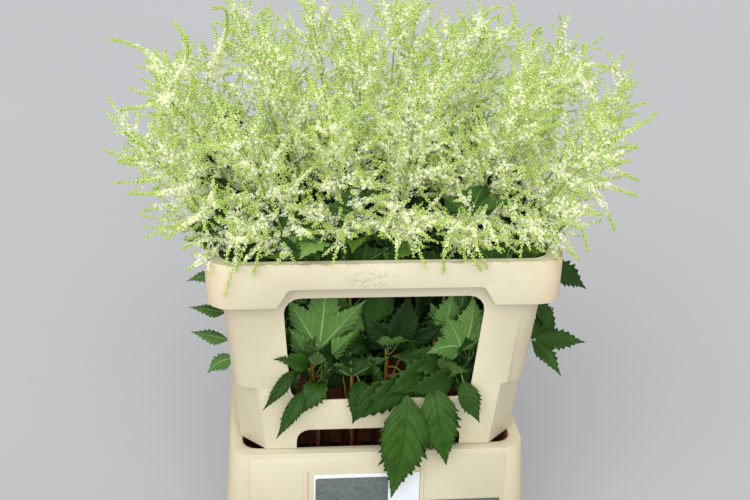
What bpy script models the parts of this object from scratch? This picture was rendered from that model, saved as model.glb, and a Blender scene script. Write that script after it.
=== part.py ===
"""Cut astilbe stems standing in a flower bucket, held up by a slotted collar.

Metres, +Z up. The origin is the middle of the bucket's underside, and -Y is the front, where the
label card is. Every flowering stem is two nodes: the leafy stem, and the plume on top of it.
"""

import math
import random

import bmesh
import bpy
import numpy as np
from mathutils import Matrix, Vector
from mathutils.geometry import delaunay_2d_cdt

GAP = 0.0003  # between solids that touch

# The bucket: a tapered tub with a hanging skirt round its rim.
BUCKET_H = 0.250
RIM_L, RIM_W = 0.390, 0.290
SKIRT_H = 0.100
SKIRT_FLARE = 0.008  # each side, top to bottom
BUCKET_WALL = 0.003
RIM_LEDGE = 0.016
FOOT_L, FOOT_W = 0.336, 0.236
RIM_CORNER = 0.022
FOOT_CORNER = 0.030
RIM_T = 0.005

# The collar: a sleeve that stands on the bucket's rim.
COLLAR_Z = BUCKET_H + GAP
COLLAR_H = 0.288
COLLAR_L, COLLAR_W = 0.364, 0.264  # outside, at the bottom
COLLAR_SLOPE = 0.085  # each side moves out by this much per metre of height
COLLAR_WALL = 0.003
CHAMFER = 0.034
STEP_Z = 0.099  # the chamfered corners end here, above the collar's bottom
BAND_L, BAND_W = 0.440, 0.340
BAND_H = 0.059
BAND_RAISED = 0.025
LIP_DROP = 0.003
COLLAR_CORNER = 0.028

WINDOW_BOTTOM, WINDOW_TOP = 0.078, 0.233
WINDOW_CORNER = 0.021
FRONT_WINDOW = (0.117, 0.125)  # half widths, bottom and top
SIDE_WINDOW = (0.070, 0.076)
SLOT_TOP, SLOT_HALF, SLOT_CORNER = 0.030, 0.108, 0.017

CARD_L, CARD_H, CARD_T = 0.141, 0.060, 0.0012
CARD_X, CARD_TOP = -0.0155, -0.031  # the card's middle, and its top below the rim
STRIP_L, STRIP_H, STRIP_X, STRIP_TOP = 0.096, 0.018, 0.117, -0.075
RAIL_X = (-0.097, 0.058)
RAIL_OUT = 0.0042
PANEL_HALF = 0.170
PANEL_OUT = 0.0012
SUNK = -0.0015  # how far panel and rails reach into the skirt

WATER_LEVEL = 0.085
HOLE_R = 0.0041  # for each stem in the water
HOLE_SPARE = 0.011

# The stems: rows across the bucket, spread by the collar.
ROWS, PER_ROW = 4, 6
STEM_FOOT = (0.126, 0.080)
STEM_WAIST = (0.096, 0.066)
STEM_HEAD = (0.306, 0.196)
WAIST_Z = 0.480
STEM_R = 0.0026
HEAD_R = 0.0019
STEM_SIDES = 4
STEM_PARTS = 6

PLUME_L = 0.235
PLUME_NODES = 8
BRANCH_RINGS = ((0.26, 1.0), (0.52, 0.92), (0.78, 0.66))  # place along a branch, share of FLORET_R
FLORET_R = 0.0062
CLEAR = 0.0140  # between the axes of branches of different plumes
OWN_CLEAR = 0.0125  # and of the same plume
TRIES = 16

CREAM_PLASTIC = (0.80, 0.73, 0.56)
LEAF_GREEN = (0.05, 0.16, 0.035)
PLUME_CREAM = (0.70, 0.79, 0.42)
WATER_TINT = (0.52, 0.60, 0.55)
CARD_WHITE = (0.86, 0.87, 0.88)
STRIP_GREY = (0.09, 0.12, 0.15)


def clear_scene():
    for obj in list(bpy.data.objects):
        bpy.data.objects.remove(obj, do_unlink=True)


def material(name, colour, roughness):
    made = bpy.data.materials.new(name)
    made.use_nodes = True
    shader = made.node_tree.nodes["Principled BSDF"]
    shader.inputs["Base Color"].default_value = (*colour, 1.0)
    shader.inputs["Roughness"].default_value = roughness
    shader.inputs["Metallic"].default_value = 0.0
    made.diffuse_color = (*colour, 1.0)
    return made


def object_from(name, points, faces, mat=None):
    """A mesh object, with its faces turned outwards."""
    mesh = bpy.data.meshes.new(name)
    mesh.from_pydata([tuple(p) for p in points], [], faces)
    bm = bmesh.new()
    bm.from_mesh(mesh)
    bmesh.ops.recalc_face_normals(bm, faces=bm.faces)
    bm.to_mesh(mesh)
    bm.free()
    obj = bpy.data.objects.new(name, mesh)
    bpy.context.scene.collection.objects.link(obj)
    if mat:
        mesh.materials.append(mat)
    return obj


def boolean(target, operation, helpers, solver):
    """One Boolean with a whole collection, applied, and the collection's objects removed."""
    group = bpy.data.collections.new(target.name + "_helpers")
    bpy.context.scene.collection.children.link(group)
    for helper in helpers:
        for holder in list(helper.users_collection):
            holder.objects.unlink(helper)
        group.objects.link(helper)
    modifier = target.modifiers.new("join", "BOOLEAN")
    modifier.operation = operation
    modifier.operand_type = "COLLECTION"
    modifier.collection = group
    modifier.solver = solver
    graph = bpy.context.evaluated_depsgraph_get()
    mesh = bpy.data.meshes.new_from_object(target.evaluated_get(graph))
    target.modifiers.clear()
    old = target.data
    target.data = mesh
    bpy.data.meshes.remove(old)
    for helper in helpers:
        bpy.data.objects.remove(helper, do_unlink=True)
    bpy.data.collections.remove(group)


# Rings and lofts, for the bucket, the collar and the water.


def rounded_ring(length, width, corner, z, steps=4):
    """A rounded rectangle, anticlockwise seen from above, with steps + 1 points a corner."""
    points = []
    for quarter, (sx, sy) in enumerate(((1, 1), (-1, 1), (-1, -1), (1, -1))):
        cx = sx * (length / 2 - corner)
        cy = sy * (width / 2 - corner)
        for i in range(steps + 1):
            angle = (quarter + i / steps) * math.pi / 2
            points.append(Vector((cx + corner * math.cos(angle), cy + corner * math.sin(angle), z)))
    return points


def chamfered_ring(length, width, cut, z, steps=4):
    """The same number of points, with the corners cut off straight."""
    points = []
    for quarter, (sx, sy) in enumerate(((1, 1), (-1, 1), (-1, -1), (1, -1))):
        along_y = Vector((sx * length / 2, sy * (width / 2 - cut), z))
        along_x = Vector((sx * (length / 2 - cut), sy * width / 2, z))
        ends = (along_y, along_x) if quarter % 2 == 0 else (along_x, along_y)
        points += [ends[0].lerp(ends[1], i / steps) for i in range(steps + 1)]
    return points


def loft(name, rings, closed, mat=None):
    """Skins the rings in turn: a closed one joins its last ring to its first, others get caps."""
    count = len(rings[0])
    points = [p for ring in rings for p in ring]
    faces = []
    bands = len(rings) if closed else len(rings) - 1
    for k in range(bands):
        low = k * count
        high = (k + 1) % len(rings) * count
        for i in range(count):
            j = (i + 1) % count
            faces.append((low + i, low + j, high + j, high + i))
    if not closed:
        faces.append(tuple(range(count)))
        faces.append(tuple(range(len(points) - count, len(points))))
    return object_from(name, points, faces, mat)


def prism(name, outline, axis, low, high):
    """Extrudes (across, z) points along x or y, from low to high."""
    if axis == "y":
        points = [Vector((a, end, z)) for end in (low, high) for a, z in outline]
    else:
        points = [Vector((end, a, z)) for end in (low, high) for a, z in outline]
    count = len(outline)
    faces = [tuple(range(count)), tuple(range(count, 2 * count))]
    faces += [(i, (i + 1) % count, count + (i + 1) % count, count + i) for i in range(count)]
    return object_from(name, points, faces)


def arc(cx, cz, radius, start, end, steps=4):
    """Points on a circle's arc, with angles in degrees."""
    angles = [math.radians(start + (end - start) * i / steps) for i in range(steps + 1)]
    return [(cx + radius * math.cos(a), cz + radius * math.sin(a)) for a in angles]


def window_outline(halves, z0):
    low, high = halves
    r = WINDOW_CORNER
    return (
        arc(low - r, z0 + WINDOW_BOTTOM + r, r, 270, 360)
        + arc(high - r, z0 + WINDOW_TOP - r, r, 0, 90)
        + arc(r - high, z0 + WINDOW_TOP - r, r, 90, 180)
        + arc(r - low, z0 + WINDOW_BOTTOM + r, r, 180, 270)
    )


def slot_outline(z0):
    r = SLOT_CORNER
    return [
        (-SLOT_HALF, z0 - 0.01),
        (SLOT_HALF, z0 - 0.01),
        *arc(SLOT_HALF - r, z0 + SLOT_TOP - r, r, 0, 90),
        *arc(r - SLOT_HALF, z0 + SLOT_TOP - r, r, 90, 180),
    ]


def notch_outline(half, z0):
    """The raised part of the band's lower edge, over a window."""
    low = z0 + COLLAR_H - BAND_H
    high = low + BAND_RAISED
    slant = 0.016
    round_r = 0.008
    return [
        (-half, low - 0.01),
        (half, low - 0.01),
        (half, low),
        *arc(half - slant - round_r * 0.4, high - round_r, round_r, 35, 90, 2),
        *arc(slant + round_r * 0.4 - half, high - round_r, round_r, 90, 145, 2),
        (-half, low),
    ]


# The bucket, with its rails, card and strip.


def skirt_y(z):
    """The front face of the skirt at a height below the rim, as a negative number."""
    return -(RIM_W / 2 + SKIRT_FLARE * -z / SKIRT_H)


def slab(name, x0, x1, top, height, back, front, mat=None):
    """A plate that lies along the skirt's sloping front: back and front count out from it."""
    points = []
    for z in (top - height, top):
        for out in (back, front):
            y = skirt_y(z) - out
            points += [Vector((x0, y, BUCKET_H + z)), Vector((x1, y, BUCKET_H + z))]
    faces = [(0, 1, 3, 2), (4, 5, 7, 6), (0, 1, 5, 4), (2, 3, 7, 6), (0, 2, 6, 4), (1, 3, 7, 5)]
    return object_from(name, points, faces, mat)


def make_bucket(mat):
    under_rim = BUCKET_H - RIM_T
    skirt_z = BUCKET_H - SKIRT_H
    flare = 2 * SKIRT_FLARE
    wall = 2 * BUCKET_WALL
    inner = (RIM_L - 2 * RIM_LEDGE, RIM_W - 2 * RIM_LEDGE)
    rings = [
        rounded_ring(FOOT_L, FOOT_W, FOOT_CORNER, 0.0),
        rounded_ring(inner[0] + wall, inner[1] + wall, RIM_CORNER, under_rim),
        rounded_ring(RIM_L - wall, RIM_W - wall, RIM_CORNER, under_rim),
        rounded_ring(RIM_L + flare - wall, RIM_W + flare - wall, RIM_CORNER + 0.002, skirt_z),
        rounded_ring(RIM_L + flare, RIM_W + flare, RIM_CORNER + 0.004, skirt_z),
        rounded_ring(RIM_L, RIM_W, RIM_CORNER + 0.002, BUCKET_H),
        rounded_ring(inner[0], inner[1], RIM_CORNER - 0.002, BUCKET_H),
        rounded_ring(FOOT_L - wall, FOOT_W - wall, FOOT_CORNER - BUCKET_WALL, BUCKET_WALL),
    ]
    bucket = loft("bucket", rings, False, mat)
    panel = slab("panel", -PANEL_HALF, PANEL_HALF, -0.006, SKIRT_H - 0.012, SUNK, PANEL_OUT)
    rails = []
    for x in RAIL_X:
        rails.append(slab("rail", x - 0.0022, x + 0.0022, -0.026, SKIRT_H - 0.034, SUNK, RAIL_OUT))
    ledge = slab("ledge", RAIL_X[0], RAIL_X[1], CARD_TOP - CARD_H - 0.0015, 0.003, SUNK, RAIL_OUT)
    boolean(bucket, "UNION", [panel, *rails, ledge], "EXACT")
    return bucket


def make_card(mat):
    """The card stands between the two rails, on their ledge."""
    back = PANEL_OUT + GAP
    x0, x1 = CARD_X - CARD_L / 2, CARD_X + CARD_L / 2
    return slab("label_card", x0, x1, CARD_TOP, CARD_H, back, back + CARD_T, mat)


def make_strip(mat):
    back = PANEL_OUT + GAP
    x0, x1 = STRIP_X - STRIP_L / 2, STRIP_X + STRIP_L / 2
    return slab("label_strip", x0, x1, STRIP_TOP, STRIP_H, back, back + CARD_T, mat)


# The collar.


def collar_size(z):
    """The collar's outside length and width at a height above its own bottom."""
    return COLLAR_L + 2 * COLLAR_SLOPE * z, COLLAR_W + 2 * COLLAR_SLOPE * z


def make_collar(mat):
    z0 = COLLAR_Z
    wall = 2 * COLLAR_WALL
    top = z0 + COLLAR_H
    under = COLLAR_H - 2 * LIP_DROP
    step_l, step_w = collar_size(STEP_Z)
    under_l, under_w = collar_size(under)
    skirt_z = top - BAND_H
    thin = CHAMFER - 0.0012  # the inside of a chamfer is a little shorter
    rings = [
        chamfered_ring(COLLAR_L, COLLAR_W, CHAMFER, z0),
        chamfered_ring(step_l, step_w, CHAMFER, z0 + STEP_Z - 0.0015),
        rounded_ring(step_l, step_w, COLLAR_CORNER, z0 + STEP_Z),
        rounded_ring(under_l, under_w, COLLAR_CORNER, z0 + under),
        rounded_ring(BAND_L - wall, BAND_W - wall, COLLAR_CORNER, z0 + under),
        rounded_ring(BAND_L - wall, BAND_W - wall, COLLAR_CORNER, skirt_z),
        rounded_ring(BAND_L, BAND_W, COLLAR_CORNER + 0.002, skirt_z),
        rounded_ring(BAND_L, BAND_W, COLLAR_CORNER + 0.002, top),
        rounded_ring(BAND_L - wall, BAND_W - wall, COLLAR_CORNER, top),
        rounded_ring(BAND_L - wall, BAND_W - wall, COLLAR_CORNER, top - LIP_DROP),
        rounded_ring(under_l - wall, under_w - wall, COLLAR_CORNER - 0.003, top - LIP_DROP),
        rounded_ring(step_l - wall, step_w - wall, COLLAR_CORNER - 0.003, z0 + STEP_Z + 0.002),
        chamfered_ring(step_l - wall, step_w - wall, thin, z0 + STEP_Z - 0.002),
        chamfered_ring(COLLAR_L - wall, COLLAR_W - wall, thin, z0),
    ]
    collar = loft("collar", rings, True, mat)
    half_l, half_w = BAND_L / 2, BAND_W / 2
    cutters = [
        prism("front_windows", window_outline(FRONT_WINDOW, z0), "y", 0.004 - half_w, half_w - 0.004),
        prism("side_windows", window_outline(SIDE_WINDOW, z0), "x", 0.004 - half_l, half_l - 0.004),
        prism("slots", slot_outline(z0), "y", 0.010 - half_w, half_w - 0.010),
    ]
    for side in (-1, 1):
        ends = sorted((side * (half_w - 0.008), side * (half_w + 0.008)))
        cutters.append(prism("front_notch", notch_outline(0.134, z0), "y", *ends))
        ends = sorted((side * (half_l - 0.008), side * (half_l + 0.008)))
        cutters.append(prism("side_notch", notch_outline(0.086, z0), "x", *ends))
    boolean(collar, "DIFFERENCE", cutters, "EXACT")
    return collar


# Stems and plumes: where each one stands, and what is already taken.


class Stem:
    """One flowering stem: a quadratic curve from its cut end to the tip of its plume."""

    def __init__(self, row, place, rng):
        self.name = f"{row + 1}{place + 1}"
        v = -1 + 2 * row / (ROWS - 1)
        u = -1 + 2 * place / (PER_ROW - 1)
        u = u * 0.91 + (0.07 if row % 2 else -0.07) + rng.uniform(-0.03, 0.03)
        v += rng.uniform(-0.06, 0.06)
        reach = u * u
        head_z = 0.790 - 0.066 * reach - 0.030 * v * v + rng.uniform(-0.022, 0.022)
        self.points = (
            Vector((STEM_FOOT[0] * u, STEM_FOOT[1] * v, BUCKET_WALL + 0.0012)),
            Vector((STEM_WAIST[0] * u, STEM_WAIST[1] * v, WAIST_Z)),
            Vector((STEM_HEAD[0] * u, STEM_HEAD[1] * v, head_z)),
        )
        lengths = np.linalg.norm(np.diff([self.at(i / 100) for i in range(101)], axis=0), axis=1)
        up_to = np.concatenate([[0.0], np.cumsum(lengths)])
        split = up_to[-1] - PLUME_L * rng.uniform(0.93, 1.07)
        self.split = float(np.interp(split, up_to, np.linspace(0, 1, 101)))

    def at(self, t):
        a, b, c = self.points
        return a * (1 - t) ** 2 + b * (2 * t * (1 - t)) + c * t**2

    def along(self, t):
        a, b, c = self.points
        return ((b - a) * (1 - t) + (c - b) * t).normalized()

    def at_height(self, z):
        """The point on the stem at this height."""
        low, high = 0.0, 1.0
        for _ in range(30):
            middle = (low + high) / 2
            if self.at(middle).z < z:
                low = middle
            else:
                high = middle
        return self.at(low)


OFF_AXIS = Vector((0.31, 0.17, 0.93)).normalized()  # no stem or branch runs this way


def square_to(direction):
    """Two unit vectors square to a direction."""
    side = direction.cross(OFF_AXIS).normalized()
    return side, direction.cross(side).normalized()


def ring_round(centre, direction, radius, count, turn):
    side, up = square_to(direction)
    angles = [turn + 2 * math.pi * i / count for i in range(count)]
    return [centre + side * (radius * math.cos(a)) + up * (radius * math.sin(a)) for a in angles]


def make_stem_tube(stem, mat):
    """The stem's tube, from its cut end to just under its plume."""
    end = stem.split - 0.0012
    ts = [end * i / STEM_PARTS for i in range(STEM_PARTS + 1)]
    rings = []
    for t in ts:
        radius = STEM_R + (HEAD_R - STEM_R) * t / end
        rings.append(ring_round(stem.at(t), stem.along(t), radius, STEM_SIDES, 0.0))
    return loft(f"stem_{stem.name}", rings, False, mat)


def bezier(p, t):
    s = 1 - t
    return p[0] * s**3 + p[1] * (3 * s * s * t) + p[2] * (3 * s * t * t) + p[3] * t**3


# Leaves: one thin blade each, cut to the rib into leaflets with saw-toothed edges.


LEAF_FOLD = 0.28  # rise of a leaflet's edge above its rib, for each metre across
PAIR_TURN = math.radians(52)  # between a side leaflet and the leaf's stalk
RIB_HALF = 0.0011
ALONG_LEAF = 40  # samples of a leaf's route


def half_width(t):
    """An ovate leaflet's half width along its length, with a drawn-out tip. Its most is 1."""
    return t**0.62 * (1 - t) ** 1.05 / 0.338


def leaflet(base, direction, length, width, teeth):
    """The outline of one leaflet from its right side round to its left, and its rib.

    Each point is (along, across, lift), and the lift folds the blade up along its rib.
    """
    dx, dy = math.cos(direction), math.sin(direction)

    def place(t, w):
        x = base[0] + dx * length * t - dy * w
        y = base[1] + dy * length * t + dx * w
        return (x, y, LEAF_FOLD * abs(w))

    right = []
    for i in range(teeth):
        valley = 0.05 + 0.90 * (i + 0.02) / teeth
        peak = 0.05 + 0.90 * (i + 0.80) / teeth
        right.append((valley, half_width(valley) * width / 2 * 0.86))
        right.append((peak, half_width(peak) * width / 2 * 1.16 + 0.0006))
    outline = [place(t, -w) for t, w in right] + [place(1.0, 0.0)]
    outline += [place(t, w) for t, w in reversed(right)]
    rib = [place(t, 0.0) for t in (0.02, 0.35, 0.68)] + [place(1.0, 0.0)]
    return outline, rib


def leaf_blade(name, route, side, scale, breadth, pairs):
    """A leaf along a cubic route, from its stem to the tip of its end leaflet.

    side points across the blade. The stalk takes what the leaflets leave of the route.
    """
    teeth = 4 if scale > 0.7 else 3
    samples = [bezier(route, i / ALONG_LEAF) for i in range(ALONG_LEAF + 1)]
    steps = [0.0]
    for a, b in zip(samples, samples[1:]):
        steps.append(steps[-1] + (b - a).length)
    total = steps[-1]
    end_length = min(0.105 * scale, total * 0.62)
    stalk = total - end_length
    outline = [(0.0, -RIB_HALF, 0.0)]
    ribs = []
    rights, lefts = [], []
    for pair in range(pairs):
        at = stalk - (0.006 + 0.032 * pair) * scale
        length = end_length * (0.80 - 0.12 * pair)
        for sign, found in ((-1, rights), (1, lefts)):
            base = (at, sign * RIB_HALF * 0.6)
            turn = sign * PAIR_TURN
            shape, rib = leaflet(base, turn, length, length * breadth, teeth - 1)
            found.append(shape)
            ribs.append(rib)
    for shape in reversed(rights):
        outline += shape
    shape, rib = leaflet((stalk, 0.0), 0.0, end_length, end_length * breadth, teeth + 1)
    outline += shape
    ribs.append(rib)
    for shape in lefts:
        outline += shape
    outline.append((0.0, RIB_HALF, 0.0))
    flat = [Vector((x, y)) for x, y, _ in outline]
    edges = []
    lifts = [lift for _, _, lift in outline]
    for rib in ribs:
        start = len(flat)
        inner = rib[:-1]
        flat += [Vector((x, y)) for x, y, _ in inner]
        lifts += [0.0] * len(inner)
        edges += [(start + i, start + i + 1) for i in range(len(inner) - 1)]
        tip = min(range(len(outline)), key=lambda i: (flat[i] - Vector(rib[-1][:2])).length)
        edges.append((start + len(inner) - 1, tip))
    made = delaunay_2d_cdt(flat, edges, [tuple(range(len(outline)))], 1, 1e-7)
    points2, faces, sources = made[0], made[2], made[3]
    heights = [lifts[source[0]] if source else 0.0 for source in sources]

    top, bottom = [], []
    for (x, y), lift in zip(points2, heights):
        share = min(max(x / total, 0.0), 1.0)
        t = float(np.interp(share * total, steps, np.linspace(0, 1, ALONG_LEAF + 1)))
        centre = bezier(route, t)
        ahead = (bezier(route, min(t + 0.01, 1.0)) - bezier(route, max(t - 0.01, 0.0))).normalized()
        across = (side - ahead * side.dot(ahead)).normalized()
        normal = ahead.cross(across)
        if x > total:
            centre = centre + ahead * (x - total)
        point = centre + across * y + normal * lift
        half = 0.0007 if abs(y) < 0.0016 and x < stalk else 0.0004
        top.append(point + normal * half)
        bottom.append(point - normal * half)
    count = len(top)
    solid_faces = [tuple(f) for f in faces]
    solid_faces += [tuple(count + i for i in reversed(f)) for f in faces]
    borders = {}
    for f in faces:
        for i, j in zip(f, (*f[1:], f[0])):
            borders[(i, j)] = True
    for i, j in borders:
        if (j, i) not in borders:
            solid_faces += [(i, count + i, j), (j, count + i, count + j)]
    return object_from(name, top + bottom, solid_faces)


# Each leaf: its stem's row and place, how high it leaves the stem, the rest of its route as three
# points, the way across its blade, its scale, its leaflets' breadth for their length, and how many
# side pairs of leaflets it has.
ACROSS = (1, 0, 0)
RIGHT_TILT = (0.35, 0.75, 0.55)
LEFT_TILT = (-0.35, 0.75, 0.55)
LEAVES = (
    # over the front sill
    (0, 3, 0.345, (0.030, -0.125, 0.374), (0.038, -0.172, 0.356), (0.022, -0.175, 0.213),
     ACROSS, 1.18, 0.50, 0),
    (0, 4, 0.330, (0.080, -0.124, 0.368), (0.086, -0.170, 0.352), (0.085, -0.166, 0.254),
     ACROSS, 0.84, 0.48, 0),
    (0, 5, 0.340, (0.104, -0.122, 0.372), (0.103, -0.150, 0.374), (0.128, -0.162, 0.306),
     ACROSS, 0.56, 0.42, 0),
    (0, 2, 0.335, (-0.030, -0.122, 0.364), (-0.020, -0.158, 0.358), (-0.038, -0.158, 0.303),
     ACROSS, 0.60, 0.50, 0),
    (0, 1, 0.360, (-0.104, -0.124, 0.384), (-0.108, -0.162, 0.392), (-0.153, -0.163, 0.330),
     ACROSS, 0.66, 0.26, 0),
    (0, 1, 0.325, (-0.094, -0.122, 0.358), (-0.096, -0.164, 0.362), (-0.136, -0.162, 0.286),
     ACROSS, 0.72, 0.28, 0),
    # inside the front window
    (0, 1, 0.345, (-0.082, -0.118, 0.368), (-0.074, -0.125, 0.400), (-0.052, -0.127, 0.472),
     ACROSS, 0.84, 0.50, 1),
    (0, 4, 0.345, (0.104, -0.118, 0.366), (0.120, -0.124, 0.396), (0.114, -0.127, 0.472),
     ACROSS, 0.80, 0.50, 1),
    (0, 3, 0.365, (0.020, -0.114, 0.380), (0.026, -0.120, 0.410), (0.034, -0.122, 0.474),
     ACROSS, 0.78, 0.50, 1),
    # behind the front row
    (1, 2, 0.330, (-0.030, -0.050, 0.356), (-0.034, -0.066, 0.390), (-0.026, -0.070, 0.462),
     ACROSS, 0.80, 0.50, 1),
    (1, 3, 0.330, (0.056, -0.050, 0.356), (0.072, -0.066, 0.390), (0.080, -0.070, 0.458),
     ACROSS, 0.80, 0.50, 1),
    (1, 1, 0.320, (-0.076, -0.054, 0.352), (-0.084, -0.078, 0.366), (-0.086, -0.084, 0.306),
     ACROSS, 0.70, 0.50, 1),
    # out of the right side
    (1, 5, 0.360, (0.190, -0.020, 0.404), (0.240, 0.000, 0.402), (0.262, 0.000, 0.334),
     RIGHT_TILT, 0.66, 0.50, 0),
    (1, 5, 0.322, (0.186, -0.036, 0.352), (0.225, -0.038, 0.360), (0.298, -0.030, 0.343),
     RIGHT_TILT, 0.72, 0.40, 1),
    (2, 5, 0.400, (0.180, 0.046, 0.436), (0.245, 0.055, 0.444), (0.318, 0.060, 0.380),
     RIGHT_TILT, 0.74, 0.50, 0),
    # out of the left side
    (2, 0, 0.395, (-0.188, 0.030, 0.424), (-0.215, 0.030, 0.436), (-0.254, 0.030, 0.418),
     LEFT_TILT, 0.50, 0.36, 0),
    (2, 0, 0.350, (-0.186, 0.010, 0.376), (-0.214, 0.002, 0.388), (-0.250, 0.000, 0.394),
     LEFT_TILT, 0.50, 0.36, 0),
    (1, 0, 0.330, (-0.180, -0.026, 0.352), (-0.212, -0.022, 0.360), (-0.248, -0.020, 0.367),
     LEFT_TILT, 0.50, 0.40, 0),
    (1, 0, 0.310, (-0.178, -0.050, 0.346), (-0.208, -0.054, 0.354), (-0.226, -0.050, 0.318),
     LEFT_TILT, 0.46, 0.50, 0),
    # over the rim
    (0, 1, 0.480, (-0.084, -0.112, 0.548), (-0.072, -0.138, 0.578), (-0.108, -0.192, 0.556),
     ACROSS, 0.80, 0.50, 0),
    (0, 2, 0.508, (-0.040, -0.128, 0.552), (-0.036, -0.146, 0.572), (-0.046, -0.186, 0.560),
     ACROSS, 0.66, 0.50, 0),
    (0, 5, 0.490, (0.172, -0.108, 0.552), (0.196, -0.096, 0.576), (0.242, -0.090, 0.556),
     RIGHT_TILT, 0.70, 0.50, 0),
    (0, 0, 0.480, (-0.176, -0.104, 0.552), (-0.198, -0.094, 0.576), (-0.242, -0.092, 0.552),
     LEFT_TILT, 0.66, 0.50, 0),
    (3, 3, 0.508, (0.030, 0.132, 0.552), (0.034, 0.150, 0.576), (0.040, 0.200, 0.560),
     ACROSS, 0.80, 0.50, 0),
    # the back window and sill
    (3, 1, 0.345, (-0.070, 0.116, 0.368), (-0.062, 0.124, 0.404), (-0.050, 0.127, 0.472),
     ACROSS, 0.84, 0.50, 1),
    (3, 4, 0.345, (0.100, 0.116, 0.366), (0.104, 0.124, 0.400), (0.090, 0.127, 0.472),
     ACROSS, 0.80, 0.50, 1),
    (3, 2, 0.335, (-0.010, 0.124, 0.370), (-0.006, 0.170, 0.358), (0.004, 0.172, 0.236),
     ACROSS, 1.00, 0.50, 0),
)


def make_leafy_stem(stem, leaves, mat):
    tube = make_stem_tube(stem, mat)
    blades = []
    for number, (height, near, mid, tip, side, scale, breadth, pairs) in enumerate(leaves):
        route = [stem.at_height(height), Vector(near), Vector(mid), Vector(tip)]
        name = f"leaf_{stem.name}_{number}"
        blades.append(leaf_blade(name, route, Vector(side).normalized(), scale, breadth, pairs))
    if blades:
        boolean(tube, "UNION", blades, "MANIFOLD")
    return tube


class Claims:
    """Points along everything that already has its place, with their owners."""

    def __init__(self):
        self.points = []
        self.owners = []

    def add(self, owner, points):
        self.points += [tuple(p) for p in points]
        self.owners += [owner] * len(points)

    def room(self, owner, points):
        """The least distance from these points to anything that another owner holds."""
        held = np.array(self.points)
        others = held[np.array(self.owners) != owner]
        mine = np.array([tuple(p) for p in points])
        return float(np.sqrt(((mine[:, None] - others[None]) ** 2).sum(axis=2)).min())


def misses_collar(points):
    """True if a branch stays above the rim, inside the mouth or outside the band."""
    for p in points:
        if p.z > COLLAR_Z + COLLAR_H + 0.007:
            continue
        inside = abs(p.x) < 0.190 and abs(p.y) < 0.138
        outside = abs(p.x) > BAND_L / 2 + 0.008 or abs(p.y) > BAND_W / 2 + 0.008
        if not (inside or outside):
            return False
    return True


class Branch:
    """A side branch: a quadratic curve that leaves a face of the plume's axis."""

    def __init__(self, root, lean, length, lift):
        self.a = root
        self.b = root + lean * (length * 0.5)
        self.c = root + lean * length + Vector((0, 0, lift * length))

    def at(self, t):
        return self.a * (1 - t) ** 2 + self.b * (2 * t * (1 - t)) + self.c * t**2

    def along(self, t):
        return ((self.b - self.a) * (1 - t) + (self.c - self.b) * t).normalized()


def axis_rings(stem):
    """The rings of a plume's axis: two close ones at each node, and those of its end spike."""
    start = stem.split
    last = 0.86
    rings = []
    for node in range(PLUME_NODES):
        share = last * node / (PLUME_NODES - 1)
        for way in (0.0, 0.028):
            t = start + (1 - start) * (share * 0.92 + way)
            radius = 0.0018 - 0.0008 * share
            rings.append((t, radius))
    for share, radius in ((0.89, 0.0050), (0.93, 0.0044), (0.965, 0.0032)):
        rings.append((start + (1 - start) * share, radius))
    return rings


def plume_branches(stem, rng, claims):
    """Chooses each node's branches, clear of all that is there. Gives the plume's points and faces."""
    points, faces = [], []
    rings = axis_rings(stem)
    for k, (t, radius) in enumerate(rings):
        points += ring_round(stem.at(t), stem.along(t), radius, 3, math.pi / 3 * k)
    tip = len(points)
    points.append(stem.at(1.0))
    own = []
    open_faces = []
    for k in range(len(rings) - 1):
        low, high = 3 * k, 3 * (k + 1)
        for i in range(3):
            j = (i + 1) % 3
            band = [(low + i, low + j, high + i), (low + j, high + j, high + i)]
            if k % 2 == 0 and k < 2 * PLUME_NODES:
                open_faces += [(k // 2, f) for f in band]
            else:
                faces += band
    end = 3 * (len(rings) - 1)
    faces += [(end + i, end + (i + 1) % 3, tip) for i in range(3)]
    faces.append((2, 1, 0))

    for node in range(PLUME_NODES):
        choices = [f for n, f in open_faces if n == node]
        share = node / (PLUME_NODES - 1)
        t = rings[2 * node][0]
        axis = stem.along(t)
        first = rng.randrange(3)
        for pick in (first, first + 3 if node % 2 else (first + 1) % 3):
            face = choices[pick]
            corners = [points[i] for i in face]
            root = sum(corners, Vector()) / 3
            out = (corners[1] - corners[0]).cross(corners[2] - corners[0]).normalized()
            if out.dot(root - stem.at(t)) < 0:
                out = -out
            best = None
            for attempt in range(TRIES):
                turn = rng.uniform(-0.45, 0.45)
                lean_angle = math.radians(rng.uniform(48, 66) - 22 * share)
                length = (0.112 - 0.052 * share) * rng.uniform(0.86, 1.14) * (1 - 0.035 * attempt)
                lift = rng.uniform(-0.10, 0.20)
                sideways = Matrix.Rotation(turn, 3, axis) @ out
                lean = sideways * math.sin(lean_angle) + axis * math.cos(lean_angle)
                branch = Branch(root, lean, length, lift)
                trace = [branch.at(0.12 + 0.88 * s / 9) for s in range(10)]
                if not misses_collar([root, *trace]):
                    continue
                room = claims.room(stem.name, trace)
                if own:
                    far = np.array([tuple(p) for p in trace[3:]])
                    gaps = np.sqrt(((far[:, None] - np.array(own)[None]) ** 2).sum(axis=2))
                    room = min(room, float(gaps.min()) + CLEAR - OWN_CLEAR)
                if best is None or room > best[0]:
                    best = (room, branch, trace)
                if room > CLEAR:
                    break
            if best is None or best[0] < CLEAR:
                continue
            _, branch, trace = best
            open_faces.remove((node, face))
            grow_branch(points, faces, face, branch)
            claims.add(stem.name, trace)
            own += [tuple(p) for p in trace[3:]]
    faces += [f for _, f in open_faces]
    return points, faces


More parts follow.
